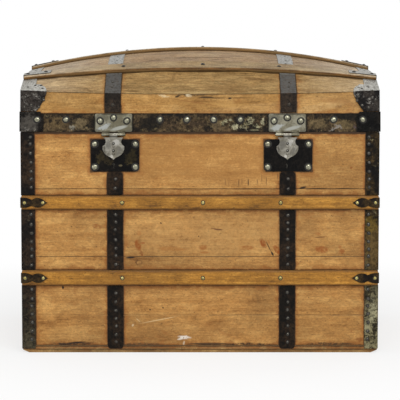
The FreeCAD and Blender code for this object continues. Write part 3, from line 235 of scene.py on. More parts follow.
def sawn_wood(name, pale, middle, dark, along=0, irons=(), seams=(), across=0, marks=(), worn=0.0,
              grey="#9C8D78", stain=0.5, rough=(0.42, 0.62), edges=(), clouds=(0.80, 1.13),
              fibres=(0.88, 1.10), dip=0.0, gloss=0.25, faded=0.5):
    """Old waxed board, its grain along one axis.

    The tint goes between dark, middle and pale by a sum of streaks and mottling. What faces up turns grey by
    the share worn, and bleaches by the share faded towards the ends. Tones for the clouds, the board, the
    fibres and the grain multiply it. Hairlines, specks and warm stains come over that, the inside is bare,
    and what is near the irons, seams and edges is dark. Those and the marks are read dip mm higher in the
    middle of the lid, and less so towards its ends by the square of x, so that straight ones follow its
    rise.
    """
    material, tree, place = new_finish(name)
    board = add(tree, "Attribute", attribute_name="board", out="Fac")
    shift = add(tree, "CombineXYZ", (0, board), (1, board), (2, board))
    own = add(tree, "VectorMath", (0, place), (1, shift), operation="ADD")

    def figure(long, wide, *more):
        return mottling(tree, own, [long if axis == along else wide for axis in range(3)], *more)

    if dip:
        across_lid = add(tree, "SeparateXYZ", (0, place), out="X")
        across_lid = add(tree, "Math", (0, across_lid), (1, across_lid), operation="MULTIPLY")
        rise = add(tree, "MapRange", (0, across_lid), (1, 0.0), (2, LID_END_SQUARED),
                   (3, dip * MM), (4, 0.0))
        rise = add(tree, "CombineXYZ", (2, rise))
        place = add(tree, "VectorMath", (0, place), (1, rise), operation="ADD")

    # growth rings cut lengthwise, about 12 mm apart, and patches where the wax went in unevenly
    streak = figure(430.0, 12.0, 5.0, 0.6, 0.8)
    mottle = figure(72.0, 36.0, 8.0, 0.74, 0.5)
    # real fibres are about 0.04 mm wide, hair cracks 0.2 mm, pores and dirt specks 0.5 mm: all are too fine
    # to show and are drawn as coarse as they need to
    fibre = figure(26.0, 2.2, 3.0, 0.65)
    cloud = figure(210.0, 105.0, 4.0, 0.6, 0.4)
    hairs = figure(95.0, 1.5, 2.0, 0.5, 0.2)
    grain = figure(5.0, 3.6, 4.0, 0.8)
    specks = figure(7.0, 4.4, 2.0, 0.6)
    mixed = add(tree, "Math", (0, mottle), (1, 0.7), operation="MULTIPLY")
    mixed = add(tree, "Math", (0, streak), (1, 0.3), (2, mixed), operation="MULTIPLY_ADD")
    tint = add(tree, "ValToRGB", (0, mixed), stops=((0.34, dark), (0.62, pale), (0.47, middle)))
    if worn:
        upward = add(tree, "SeparateXYZ", (0, add(tree, "TexCoord", out="Normal")), out="Z")
        upward = add(tree, "ValToRGB", (0, upward), stops=((0.1, 0.0), (0.9, 1.0)))
        share = add(tree, "ValToRGB", (0, mottle), stops=((0.3, 0.5 * worn), (0.7, 1.2 * worn)))
        share = add(tree, "Math", (0, upward), (1, share), operation="MULTIPLY", use_clamp=True)
        tint = add(tree, "Mix", (0, share), (6, tint), (7, grey), out=2, data_type="RGBA")
        sideways = add(tree, "SeparateXYZ", (0, place), out="X")
        sideways = add(tree, "Math", (0, sideways), operation="ABSOLUTE")
        ragged = add(tree, "MapRange", (0, mottle), (1, 0.3), (2, 0.7), (3, -0.04), (4, 0.04))
        sideways = add(tree, "Math", (0, sideways), (1, ragged), operation="ADD")
        share = add(tree, "MapRange", (0, sideways), (1, BLEACH_FROM), (2, BLEACH_TO),
                    (3, 0.0), (4, faded))
        share = add(tree, "Math", (0, share), (1, upward), operation="MULTIPLY")
        tint = add(tree, "Mix", (0, share), (6, tint), (7, BLEACHED_WOOD), out=2, data_type="RGBA")
    for pattern, low, high, factors in ((cloud, 0.32, 0.68, clouds), (board, 0.0, 1.0, (0.94, 1.05)),
                                        (fibre, 0.34, 0.66, fibres), (grain, 0.36, 0.64, (0.82, 1.16))):
        tone = add(tree, "ValToRGB", (0, pattern), stops=((low, factors[0]), (high, factors[1])))
        tint = add(tree, "VectorMath", (0, tint), (1, tone), operation="MULTIPLY")
    warm = mottling(tree, own, (46.0, 46.0, 26.0), 6.0, 0.72, 0.5)
    for pattern, low, high, most, mark in ((hairs, 0.62, 0.72, 0.45, dark),
                                           (specks, 0.66, 0.73, 0.55, GRIME_AND_SHADE),
                                           (warm, 0.56, 0.70, stain * 0.6, RUST)):
        share = add(tree, "ValToRGB", (0, pattern), stops=((low, 0.0), (high, most)))
        tint = add(tree, "Mix", (0, share), (6, tint), (7, mark), out=2, data_type="RGBA")
    outward = add(tree, "VectorMath", (0, place), (1, HEART), operation="SUBTRACT")
    outward = add(tree, "VectorMath", (0, outward), (1, add(tree, "TexCoord", out="Normal")),
                  operation="DOT_PRODUCT", out="Value")
    outer = add(tree, "ValToRGB", (0, outward), stops=((0.02, 0.0), (0.10, 1.0)))
    inside = add(tree, "Mix", (0, 0.35), (6, tint), (7, BARE_WOOD), out=2, data_type="RGBA")
    tint = add(tree, "Mix", (0, outer), (6, inside), (7, tint), out=2, data_type="RGBA")
    if irons:
        ragged = mottling(tree, place, (22.0, 22.0, 18.0), 7.0, 0.75)
        far, gap = (beside(tree, place, boxes, across) for boxes in (irons, seams))
        # from so many to so many mm wide: a rim of rust, a dark rim of wax dirt and painted contact shade,
        # and the dark line of a seam
        for distance, wide, most, mark in ((far, (1.0, 24.0), stain, RUST),
                                           (far, (1.6, 5.4), 0.88, GRIME_AND_SHADE),
                                           (gap, (0.8, 1.8), 0.85, SEAM_DIRT)):
            reach = add(tree, "MapRange", (0, ragged), (1, 0.36), (2, 0.66), (3, wide[0] * MM),
                        (4, wide[1] * MM))
            share = add(tree, "Math", (0, distance), (1, reach), operation="DIVIDE")
            share = add(tree, "ValToRGB", (0, share), stops=((0.15, most), (1.0, 0.0)))
            share = add(tree, "Math", (0, share), (1, outer), operation="MULTIPLY")
            tint = add(tree, "Mix", (0, share), (6, tint), (7, mark), out=2, data_type="RGBA")
    if edges:
        share = add(tree, "MapRange", (0, beside(tree, place, edges, across)), (1, 0.0),
                    (2, EDGE_REACH * MM), (3, 0.85), (4, 0.0), interpolation_type="SMOOTHERSTEP")
        ragged = add(tree, "ValToRGB", (0, mottle), stops=((0.35, 0.45), (0.6, 1.0)))
        share = add(tree, "Math", (0, share), (1, ragged), operation="MULTIPLY")
        tint = add(tree, "Mix", (0, share), (6, tint), (7, dark), out=2, data_type="RGBA")
    if marks:
        tint = spotted(tree, place, tint, marks)
    height = add(tree, "Math", (0, fibre), (1, hairs), operation="SUBTRACT")
    roughness = add(tree, "ValToRGB", (0, cloud), stops=((0.3, rough[0]), (0.7, rough[1])))
    close_finish(tree, tint, roughness, height, 0.3, ("Specular IOR Level", gloss))
    return material


# marks on the front: x, z, half length and half height in mm, tilt in degrees, tint and strength
FRONT_MARKS = (
    # broad darker and paler drifts of the wax
    (20, 430, 330, 62, 0, "#A4743B", 0.62), (40, 262, 280, 56, 0, "#D6A665", 0.34),
    # the split end of a board by the left strap, gouges beside the right one, chips at the upper seam
    (-155, 214.4, 14, 2.3, -3, "#170E08", 0.98), (152, 240, 1.6, 17, -26, "#4A2C14", 0.85),
    (161, 223, 2.6, 7.5, -26, "#120C08", 0.95), (228, 370.6, 10, 3, -12, "#1B120B", 0.95),
    (262, 368.6, 30, 1.5, 0, "#2A1B0F", 0.85), (320, 368.8, 26, 1.4, 0, "#3A2615", 0.8),
    # a knot with its ring, and the rust that has run beside it
    (-136, 203.1, 9.6, 7.8, 0, "#5A3719", 0.95), (-136, 203.1, 5.6, 4.2, 0, "#B88A4E", 0.95),
    (-138, 242, 9, 17, -10, "#8A4912", 0.95), (-130, 224, 5, 8, -30, "#7A3F14", 0.8),
    (-136, 269, 8, 7, 0, "#A2642A", 0.45),
    # smears and runs of rust along the middle boards
    (-62, 234, 42, 6.5, 2, "#9A5E24", 0.6), (7, 237, 12, 8, 0, "#8F4F1A", 0.75),
    (10, 226, 14, 3, 0, "#9A5A22", 0.5), (104, 236, 19, 7, 0, "#8F4F1A", 0.75),
    (-127, 247, 6, 3, 0, "#935424", 0.7), (140, 246, 8, 15, -25, "#8A4712", 0.95),
    (171, 232, 7, 15, -30, "#8A4712", 0.95), (152, 250, 4, 7, -36, "#94551E", 0.6),
    # nicks and specks of dirt
    (-87, 291.5, 3.2, 2, 20, "#1D130B", 0.9), (40, 277.2, 12, 2.4, 4, "#5C3420", 0.8),
    (30, 279.5, 7, 1.6, 0, "#6E4327", 0.7), (-3, 262, 2, 2, 0, "#20140B", 0.8),
    (-305.5, 147, 3.1, 4.4, 0, "#170E08", 0.95), (-111.5, 97, 2.4, 2.4, 0, "#20140B", 0.9),
    (-82.5, 101.3, 2.4, 2.4, 0, "#20140B", 0.9),
    # dabs and scratches of old white paint
    (-34.7, 34.5, 18, 5, 4, "#E9E1D3", 0.95), (-44, 31, 9, 2.6, -10, "#E2D8C8", 0.8),
    (-36, 22, 2.6, 6, 12, "#DCCFB8", 0.55), (-138, 73.4, 8, 1.5, 40, "#DDBF8E", 0.55),
    (-92, 74, 50, 1.6, -11, "#DEC08E", 0.6),
    # more rust at the right, by the left irons and low down
    (268, 260, 17, 2, -4, "#6A421F", 0.75), (262, 267, 9, 4, 8, "#965A28", 0.6),
    (271, 233, 19, 9, 8, "#8F4C18", 0.85), (315, 228, 9, 8, 0, "#8F4C18", 0.85),
    (311, 238, 5.5, 4.5, 0, "#93511E", 0.65), (367, 286, 6, 5, 0, "#7A441A", 0.7),
    (-229, 284, 13, 7, 10, "#8E5525", 0.75), (-258, 236, 5, 4, 0, "#7A4A20", 0.6),
    (-368, 262, 6, 7, 0, "#7A441A", 0.6), (356, 30, 10, 8, 0, "#7C4519", 0.65),
    (340, 48, 7, 5, 0, "#8F5A2A", 0.55), (-356, 50, 7, 5, 0, "#84501F", 0.6),
    (335, 415, 4, 3, 0, "#84491B", 0.7), (250, 398, 22, 7, 0, "#9A6530", 0.45),
    (-320, 386, 20, 5, 0, "#9A6530", 0.45),
    # a dark run at the foot and a long scratch above
    (-276, 22.8, 28, 2.6, -5, "#1C120A", 0.9), (-60, 441, 60, 1.2, 3, "#8A5C2C", 0.5),
    # a row of short upright scores above the upper slat
    (56, 382, 1.3, 10, 0, "#6B4B2C", 0.6), (64, 379, 1.2, 8, 0, "#6B4B2C", 0.55),
    (86, 381, 1.4, 11, 0, "#4E3520", 0.7), (93, 384, 1.2, 9, 0, "#5E4128", 0.6),
    (107, 382, 1.6, 10, 0, "#33231A", 0.85), (127, 384, 1.2, 8, 0, "#5E4128", 0.6),
    (137, 392, 1.3, 12, 0, "#5E4128", 0.55), (147, 386, 1.3, 13, 0, "#4E3520", 0.65),
    (172, 396, 1.3, 9, 0, "#5E4128", 0.55),
    # dirt along the foot, and one pale chip
    (-290, 20, 70, 4.6, -2, "#15110C", 0.85), (-130, 19, 60, 4, 0, "#3E3120", 0.7),
    (20, 20, 60, 3.2, 0, "#2A2116", 0.8), (110, 19, 70, 4, 0, "#17120C", 0.85),
    (290, 20, 70, 4.2, 0, "#221A11", 0.8), (-150, 62, 3, 4, 30, "#DCC7A2", 0.6),
)
SHOULDER_MARKS = (
    # the shade and dirt under the lid's front slat
    (0, 634, 120, 2.8, 0, "#3A2614", 0.9), (-170, 629, 75, 2.6, -3.5, "#3A2614", 0.85),
    (170, 629, 75, 2.6, 3.5, "#3A2614", 0.85), (-265, 621.6, 60, 2.6, -5.4, "#3A2614", 0.85),
    (265, 621.6, 60, 2.6, 5.4, "#3A2614", 0.85), (-345, 612.9, 50, 2.6, -7, "#3A2614", 0.85),
    (345, 612.9, 50, 2.6, 7, "#3A2614", 0.85),
    # stains of water and hands
    (-90, 612, 60, 7, 3, "#7A5B34", 0.5), (60, 600, 90, 8, -2, "#82623A", 0.45),
    (130, 616, 50, 5, 5, "#6A4C2A", 0.55), (-20, 588, 80, 4, 0, "#BCA070", 0.45),
    (240, 590, 30, 4, 0, "#6F5130", 0.5), (320, 600, 110, 26, 0, "#8A7048", 0.4),
    (90, 590, 60, 3.4, -2, "#6A4B28", 0.5), (-150, 590, 20, 3, 0, "#5E4224", 0.5),
)
LID_MARKS = (
    # the chipped edge under the shoulder, pale where it has split off and dark where dirt lies in it
    (60, 560, 150, 7, 4, "#B98D4E", 0.4), (-12, 582.5, 60, 3.4, -1, "#3B2A1B", 0.75),
    (-80, 580.5, 16, 3.4, 8, "#D8C39A", 0.8), (-50, 579.5, 7, 3, -20, "#241A12", 0.9),
    (-25, 581.5, 9, 4, 10, "#D9C6A2", 0.75), (14, 577.5, 22, 2.8, 0, "#2A1D12", 0.85),
    (66, 575.5, 5, 2.6, 0, "#1B130C", 0.95), (40, 576, 24, 1.3, 0, "#2A1C10", 0.85),
    (90, 576, 34, 1.2, 0, "#3A2816", 0.7),
    # a nick, and drifts of the wax
    (-26, 540.5, 3.6, 2.8, 0, "#120C08", 0.95), (-14, 541, 14, 1.6, 0, "#5C3B1D", 0.6),
    (-8, 566, 70, 1.6, 9, "#8A5D31", 0.6), (-130, 556, 40, 6, -3, "#9A6C38", 0.55),
    (262, 552, 70, 12, -8, "#CDA870", 0.5), (300, 566, 50, 8, 6, "#9C6E3A", 0.45),
    (-290, 548, 40, 6, 6, "#A3743C", 0.5),
)
# the edges of the body's slats, and the lower edges of the lid's, which are straight once dip is taken off
SLAT_EDGES = tuple((-396.0, 396.0, z, z) for z in (153.1, 186.1, 322.6, 353.1))
# the lid's slats are darkened along these feet as a painted shadow
SHOULDER_SLAT_FOOT = ((-396.0, 396.0, 606.5, 606.5),)
RIDGE_SLAT_FOOT = ((-396.0, 396.0, 626.4, 626.4),)


# ---------------------------------------------------------------- finishes: iron and plate
# the last is painted on the rims of nail heads and on the rings round them: dirt and painted shade
UNDER_SHADE, STEEL_SCALE, RIM_DIRT_AND_SHADE = "#080706", "#57544E", "#15120D"
# the edge of the dome, from just inside to just outside it, in metres from the ridge
DOME_EDGE = (0.182, 0.192)
# from so many to so many mm away, the shade round what lies on the band
SHADE_REACH = (0.6, 4.2)


def rubbed_iron(name, paint, brown, flecks, off=0.3, silver=(), aged=(0.0, 0.0), rough=(0.30, 0.66),
                marks=(), gloss=0.1, bare_and_sheen="#A3A19A", depth=0.6, dull=1.0, under=()):
    """Black japanned sheet iron, rubbed and rusted.

    The tint goes from paint to brown by a cloud, is multiplied by the grit, and turns to the flecks where
    two clouds are both high, more so as off grows, and below a height that falls from full to none between
    the two of aged. Round the boxes of under it is darkened as painted shade. Where silver is given, what
    faces up is painted pale steel, both steel rubbed bare and a painted reflection of the sky in the tops:
    none below the first upward share, all above the second, at most the third, and only the share dull
    of it beyond the edge of the dome.
    """
    material, tree, place = new_finish(name)
    # patches of wear are 20 to 40 mm wide. Grains of rust and chips are about 0.3 mm wide, too fine to
    # show, and are drawn 5 to 7 mm wide
    cloud = mottling(tree, place, (40.0,) * 3, 6.0, 0.68)
    grit = mottling(tree, place, (5.5,) * 3, 5.0, 0.76)
    patchy = mottling(tree, place, (24.0, 24.0, 17.0), 8.0, 0.78, 0.5)
    fine = mottling(tree, place, (6.5,) * 3, 5.0, 0.74)
    share = add(tree, "ValToRGB", (0, cloud), stops=((0.42, 0.0), (0.58, 1.0)))
    tint = add(tree, "Mix", (0, share), (6, paint), (7, brown), out=2, data_type="RGBA")
    tone = add(tree, "ValToRGB", (0, grit), stops=((0.36, 0.4), (0.66, 1.75)))
    tint = add(tree, "VectorMath", (0, tint), (1, tone), operation="MULTIPLY")
    wear = 0.16 * off
    share = add(tree, "ValToRGB", (0, patchy), stops=((0.64 - wear, 0.0), (0.76 - wear, 0.75)))
    spread = add(tree, "ValToRGB", (0, fine), stops=((0.42, 0.0), (0.56, 1.0)))
    share = add(tree, "Math", (0, share), (1, spread), operation="MULTIPLY")
    if aged[1]:
        height = add(tree, "SeparateXYZ", (0, place), out="Z")
        ragged = add(tree, "MapRange", (0, patchy), (1, 0.3), (2, 0.7), (3, -0.11), (4, 0.11))
        height = add(tree, "Math", (0, height), (1, ragged), operation="ADD")
        low = add(tree, "MapRange", (0, height), (1, aged[0] * MM), (2, aged[1] * MM),
                  (3, 0.95), (4, 0.0))
        spread = add(tree, "ValToRGB", (0, fine), stops=((0.36, 0.15), (0.55, 1.0)))
        low = add(tree, "Math", (0, low), (1, spread), operation="MULTIPLY")
        share = add(tree, "Math", (0, share), (1, low), operation="MAXIMUM")
    tint = add(tree, "Mix", (0, share), (6, tint), (7, flecks), out=2, data_type="RGBA")
    if marks:
        tint = spotted(tree, place, tint, marks, 0.6, 46.0, sparse=1.0)
        tone = add(tree, "ValToRGB", (0, fine), stops=((0.38, 0.55), (0.62, 1.3)))
        tint = add(tree, "VectorMath", (0, tint), (1, tone), operation="MULTIPLY")
    metal = share
    if under:
        share = add(tree, "MapRange", (0, beside(tree, place, under, 0)), (1, SHADE_REACH[0] * MM),
                    (2, SHADE_REACH[1] * MM), (3, 0.92), (4, 0.0), interpolation_type="SMOOTHSTEP")
        tint = add(tree, "Mix", (0, share), (6, tint), (7, UNDER_SHADE), out=2, data_type="RGBA")
    # what faces up is painted pale steel: steel rubbed bare, and a painted reflection of the sky
    if silver:
        facing = add(tree, "SeparateXYZ", (0, add(tree, "TexCoord", out="Normal")), out="Z")
        ragged = add(tree, "MapRange", (0, patchy), (1, 0.3), (2, 0.7), (3, -0.12), (4, 0.12))
        facing = add(tree, "Math", (0, facing), (1, ragged), operation="ADD")
        up = add(tree, "ValToRGB", (0, facing), stops=((silver[0], 0.0), (silver[1], silver[2])))
        out = add(tree, "Math", (0, add(tree, "SeparateXYZ", (0, place), out="Y")), operation="ABSOLUTE")
        left = add(tree, "MapRange", (0, out), (1, DOME_EDGE[0]), (2, DOME_EDGE[1]), (3, 1.0), (4, dull))
        up = add(tree, "Math", (0, up), (1, left), operation="MULTIPLY")
        share = add(tree, "ValToRGB", (0, grit), stops=((0.40, 0.0), (0.72, 1.0)))
        steel = add(tree, "Mix", (0, share), (6, bare_and_sheen), (7, STEEL_SCALE), out=2, data_type="RGBA")
        tint = add(tree, "Mix", (0, up), (6, tint), (7, steel), out=2, data_type="RGBA")
        metal = add(tree, "Math", (0, metal), (1, up), operation="MAXIMUM")
    metal = add(tree, "ValToRGB", (0, metal), stops=((0.0, 0.0), (1.0, 0.7)))
    height = add(tree, "Math", (0, grit), (1, cloud), operation="ADD")
    roughness = add(tree, "ValToRGB", (0, grit), stops=((0.3, rough[0]), (0.7, rough[1])))
    close_finish(tree, tint, roughness, height, depth, ("Metallic", metal), ("Specular IOR Level", gloss))
    return material


def stamped_steel(name, pale, dull, tarnish, rough=(0.26, 0.48), size=20.0, spoiled=0.6, marks=()):
    """Rolled and stamped plate gone dull.

    The tint goes from pale to dull by clouds of that size in mm, and to tarnish, at most by the share
    spoiled, where the grit is high. On a nail head it is dark, and less metallic, at the rim and on the
    ring round it: dirt, and painted shade that makes the head look round.
    """
    material, tree, place = new_finish(name)
    cloud = mottling(tree, place, (size,) * 3, 6.0, 0.68, 0.6)
    # pits of tarnish are about 0.2 mm wide, too fine to show, and are drawn a sixth of a cloud wide
    grit = mottling(tree, place, (size * 0.17,) * 3, 4.0, 0.72)
    share = add(tree, "ValToRGB", (0, cloud), stops=((0.38, 0.0), (0.60, 1.0)))
    tint = add(tree, "Mix", (0, share), (6, pale), (7, dull), out=2, data_type="RGBA")
    share = add(tree, "ValToRGB", (0, grit), stops=((0.52, 0.0), (0.70, spoiled)))
    tint = add(tree, "Mix", (0, share), (6, tint), (7, tarnish), out=2, data_type="RGBA")
    if marks:
        tint = spotted(tree, place, tint, marks, 0.5, 22.0, 5.0, 1.0)
    # a nail head is painted dark at its rim and on the ring round it: dirt and painted shade
    clean_and_lit = add(tree, "Attribute", attribute_name="clean_and_lit", out="Fac")
    dirt_and_shade = add(tree, "ValToRGB", (0, clean_and_lit), stops=((0.18, 1.0), (0.55, 0.0)))
    tint = add(tree, "Mix", (0, dirt_and_shade), (6, tint), (7, RIM_DIRT_AND_SHADE), out=2, data_type="RGBA")
    metal = add(tree, "ValToRGB", (0, clean_and_lit), stops=((0.1, 0.2), (0.5, 1.0)))
    roughness = add(tree, "ValToRGB", (0, cloud), stops=((0.3, rough[0]), (0.7, rough[1])))
    close_finish(tree, tint, roughness, grit, 0.18, ("Metallic", metal))
    return material


BAND_MARKS = (
    # brown patches, with black ones where the coat is whole
    (-318, 516, 30, 14, 0, "#5C4C33", 0.85), (-262, 511, 26, 15, 20, "#665840", 0.9),
    (-283, 504, 8, 9, 0, "#8A8577", 0.6), (-248, 508, 6, 7, 0, "#100E0B", 0.95),
    (-236, 518, 5, 7, 0, "#100E0B", 0.9), (-330, 521, 7, 7, 0, "#14110E", 0.9),
    (-315, 517, 6, 5, 0, "#1A1510", 0.8), (-108, 514, 36, 18, 0, "#14110E", 0.85),
    (-66, 508, 20, 8, 0, "#4A3B2A", 0.75), (-4, 512, 22, 9, 0, "#3A2E22", 0.7),
    # pale flakes of old varnish right of the middle
    (36, 507, 14, 8, 0, "#5C4E39", 0.75), (58, 516, 9, 5, 10, "#8F8A6C", 0.85),
    (76, 505, 12, 6, -14, "#A09A7C", 0.95), (67, 521, 5, 3, 20, "#9E987B", 0.85),
    (96, 503, 7, 4, 0, "#9A9475", 0.85), (112, 519, 8, 5, 30, "#9A9475", 0.85),
    (129, 506, 9, 5, 0, "#969070", 0.85), (139, 519, 4.5, 10, 0, "#A19B7D", 0.95),
    (103, 512, 9, 4, 0, "#807A5E", 0.75), (120, 498.5, 12, 2.8, 0, "#8A8466", 0.7),
    # brown patches again
    (262, 512, 26, 14, 0, "#62533A", 0.85), (318, 510, 28, 12, 6, "#615339", 0.85),
    (300, 502, 14, 4, -20, "#8C8780", 0.6), (280, 519, 8, 4, -10, "#1A1611", 0.7),
    (345, 506, 8, 6, 30, "#57495C", 0.3),
)
# bare and black patches down the right corner iron
RIGHT_MARKS = (
    (384, 240, 24, 70, 0, "#5A4726", 0.85), (378, 290, 20, 24, 0, "#63501F", 0.6),
    (389, 404, 8, 44, 0, "#0C0A08", 0.9), (372, 130, 10, 16, 0, "#17130D", 0.8),
    (385, 96, 9, 40, 0, "#9A9576", 0.8), (374, 60, 8, 18, 0, "#8F896A", 0.8),
    (390, 50, 5, 30, 0, "#17130D", 0.85), (382, 120, 8, 8, 0, "#14110C", 0.8),
    (376, 30, 9, 8, 0, "#37301F", 0.8),
)
# where the band's left clamp is rubbed
CLAMP_MARKS = (
    (-378, 512, 26, 26, 0, "#4A4640", 0.85), (-384, 499, 12, 4, -14, "#6C6862", 0.6),
    (-366, 500, 5, 4, 0, "#7B766C", 0.6),
)
# where the left lock plate's enamel is scuffed brown
PLATE_MARKS = (
    (-218, 440, 13, 11, 20, "#3E3521", 0.7), (-202, 431, 14, 9, 10, "#362E1C", 0.7),
    (-226, 428, 5, 4, 0, "#4E4528", 0.65), (-152, 437, 17, 15, -20, "#302917", 0.65),
    (-158, 425, 9, 4, 0, "#463D24", 0.6), (-146, 452, 6, 8, 0, "#302917", 0.6),
    (-176, 420, 5, 3, 0, "#6A6048", 0.7),
)
# the same on both hasps and both latch plates, with x from the middle of each. On the hasps: bright rubs
# that are also painted highlights on the swell, grey tarnish, rivet heads painted as dark dots with a light
# middle, and dark lines along the edge and the neck, painted shade
HASP_MARKS = (
    (-12, 466, 9, 12, 10, "#6A6862", 0.6), (12, 452, 6, 12, 25, "#6A6862", 0.55),
    (6, 472, 9, 8, 0, "#BDBBB4", 0.55), (-4, 441, 4, 5, 0, "#C6C3BA", 0.6),
    (0, 484.5, 26, 1.6, 0, "#26241F", 0.85), (-20, 457, 3, 10, 0, "#3D3B36", 0.6),
    (0, 469.5, 4.3, 4.3, 0, "#1F1D1A", 0.95), (0, 453.5, 4.3, 4.3, 0, "#1F1D1A", 0.95),
    (-0.4, 470.1, 1.7, 1.7, 0, "#A5A39B", 0.9), (-0.4, 454.1, 1.7, 1.7, 0, "#A5A39B", 0.9))
# on the latch plates: grey tarnish and pale streaks, the plate's edges painted dark as shade, and two dark
# lines across the knuckle below, painted shade over its bright curve
LATCH_MARKS = (
    (-28, 524, 20, 11, 0, "#5D5B4E", 0.75), (2, 527, 18, 6, 0, "#62604F", 0.65),
    (-22, 505, 20, 6.5, -22, "#A2A5A2", 0.8), (12, 503, 24, 5, -14, "#9E9F98", 0.75),
    (30, 524, 12, 9, 0, "#8E8C78", 0.5), (-36, 497.5, 8, 4, 0, "#47453A", 0.6),
    (34, 497, 9, 3, 0, "#55534A", 0.6), (0, 533, 42, 1.6, 0, "#2E2C25", 0.75),
    (-41, 514, 1.8, 22, 0, "#2E2C25", 0.7), (41, 514, 1.8, 22, 0, "#2E2C25", 0.7),
    (0, 492.8, 24, 1.8, 0, "#2C2A24", 0.85), (0, 486.2, 24, 1.5, 0, "#2C2A24", 0.85))
HASP_MARKS, LATCH_MARKS = (tuple((x + mark[0], *mark[1:]) for x in LATCH_X for mark in marks)
                           for marks in (HASP_MARKS, LATCH_MARKS))


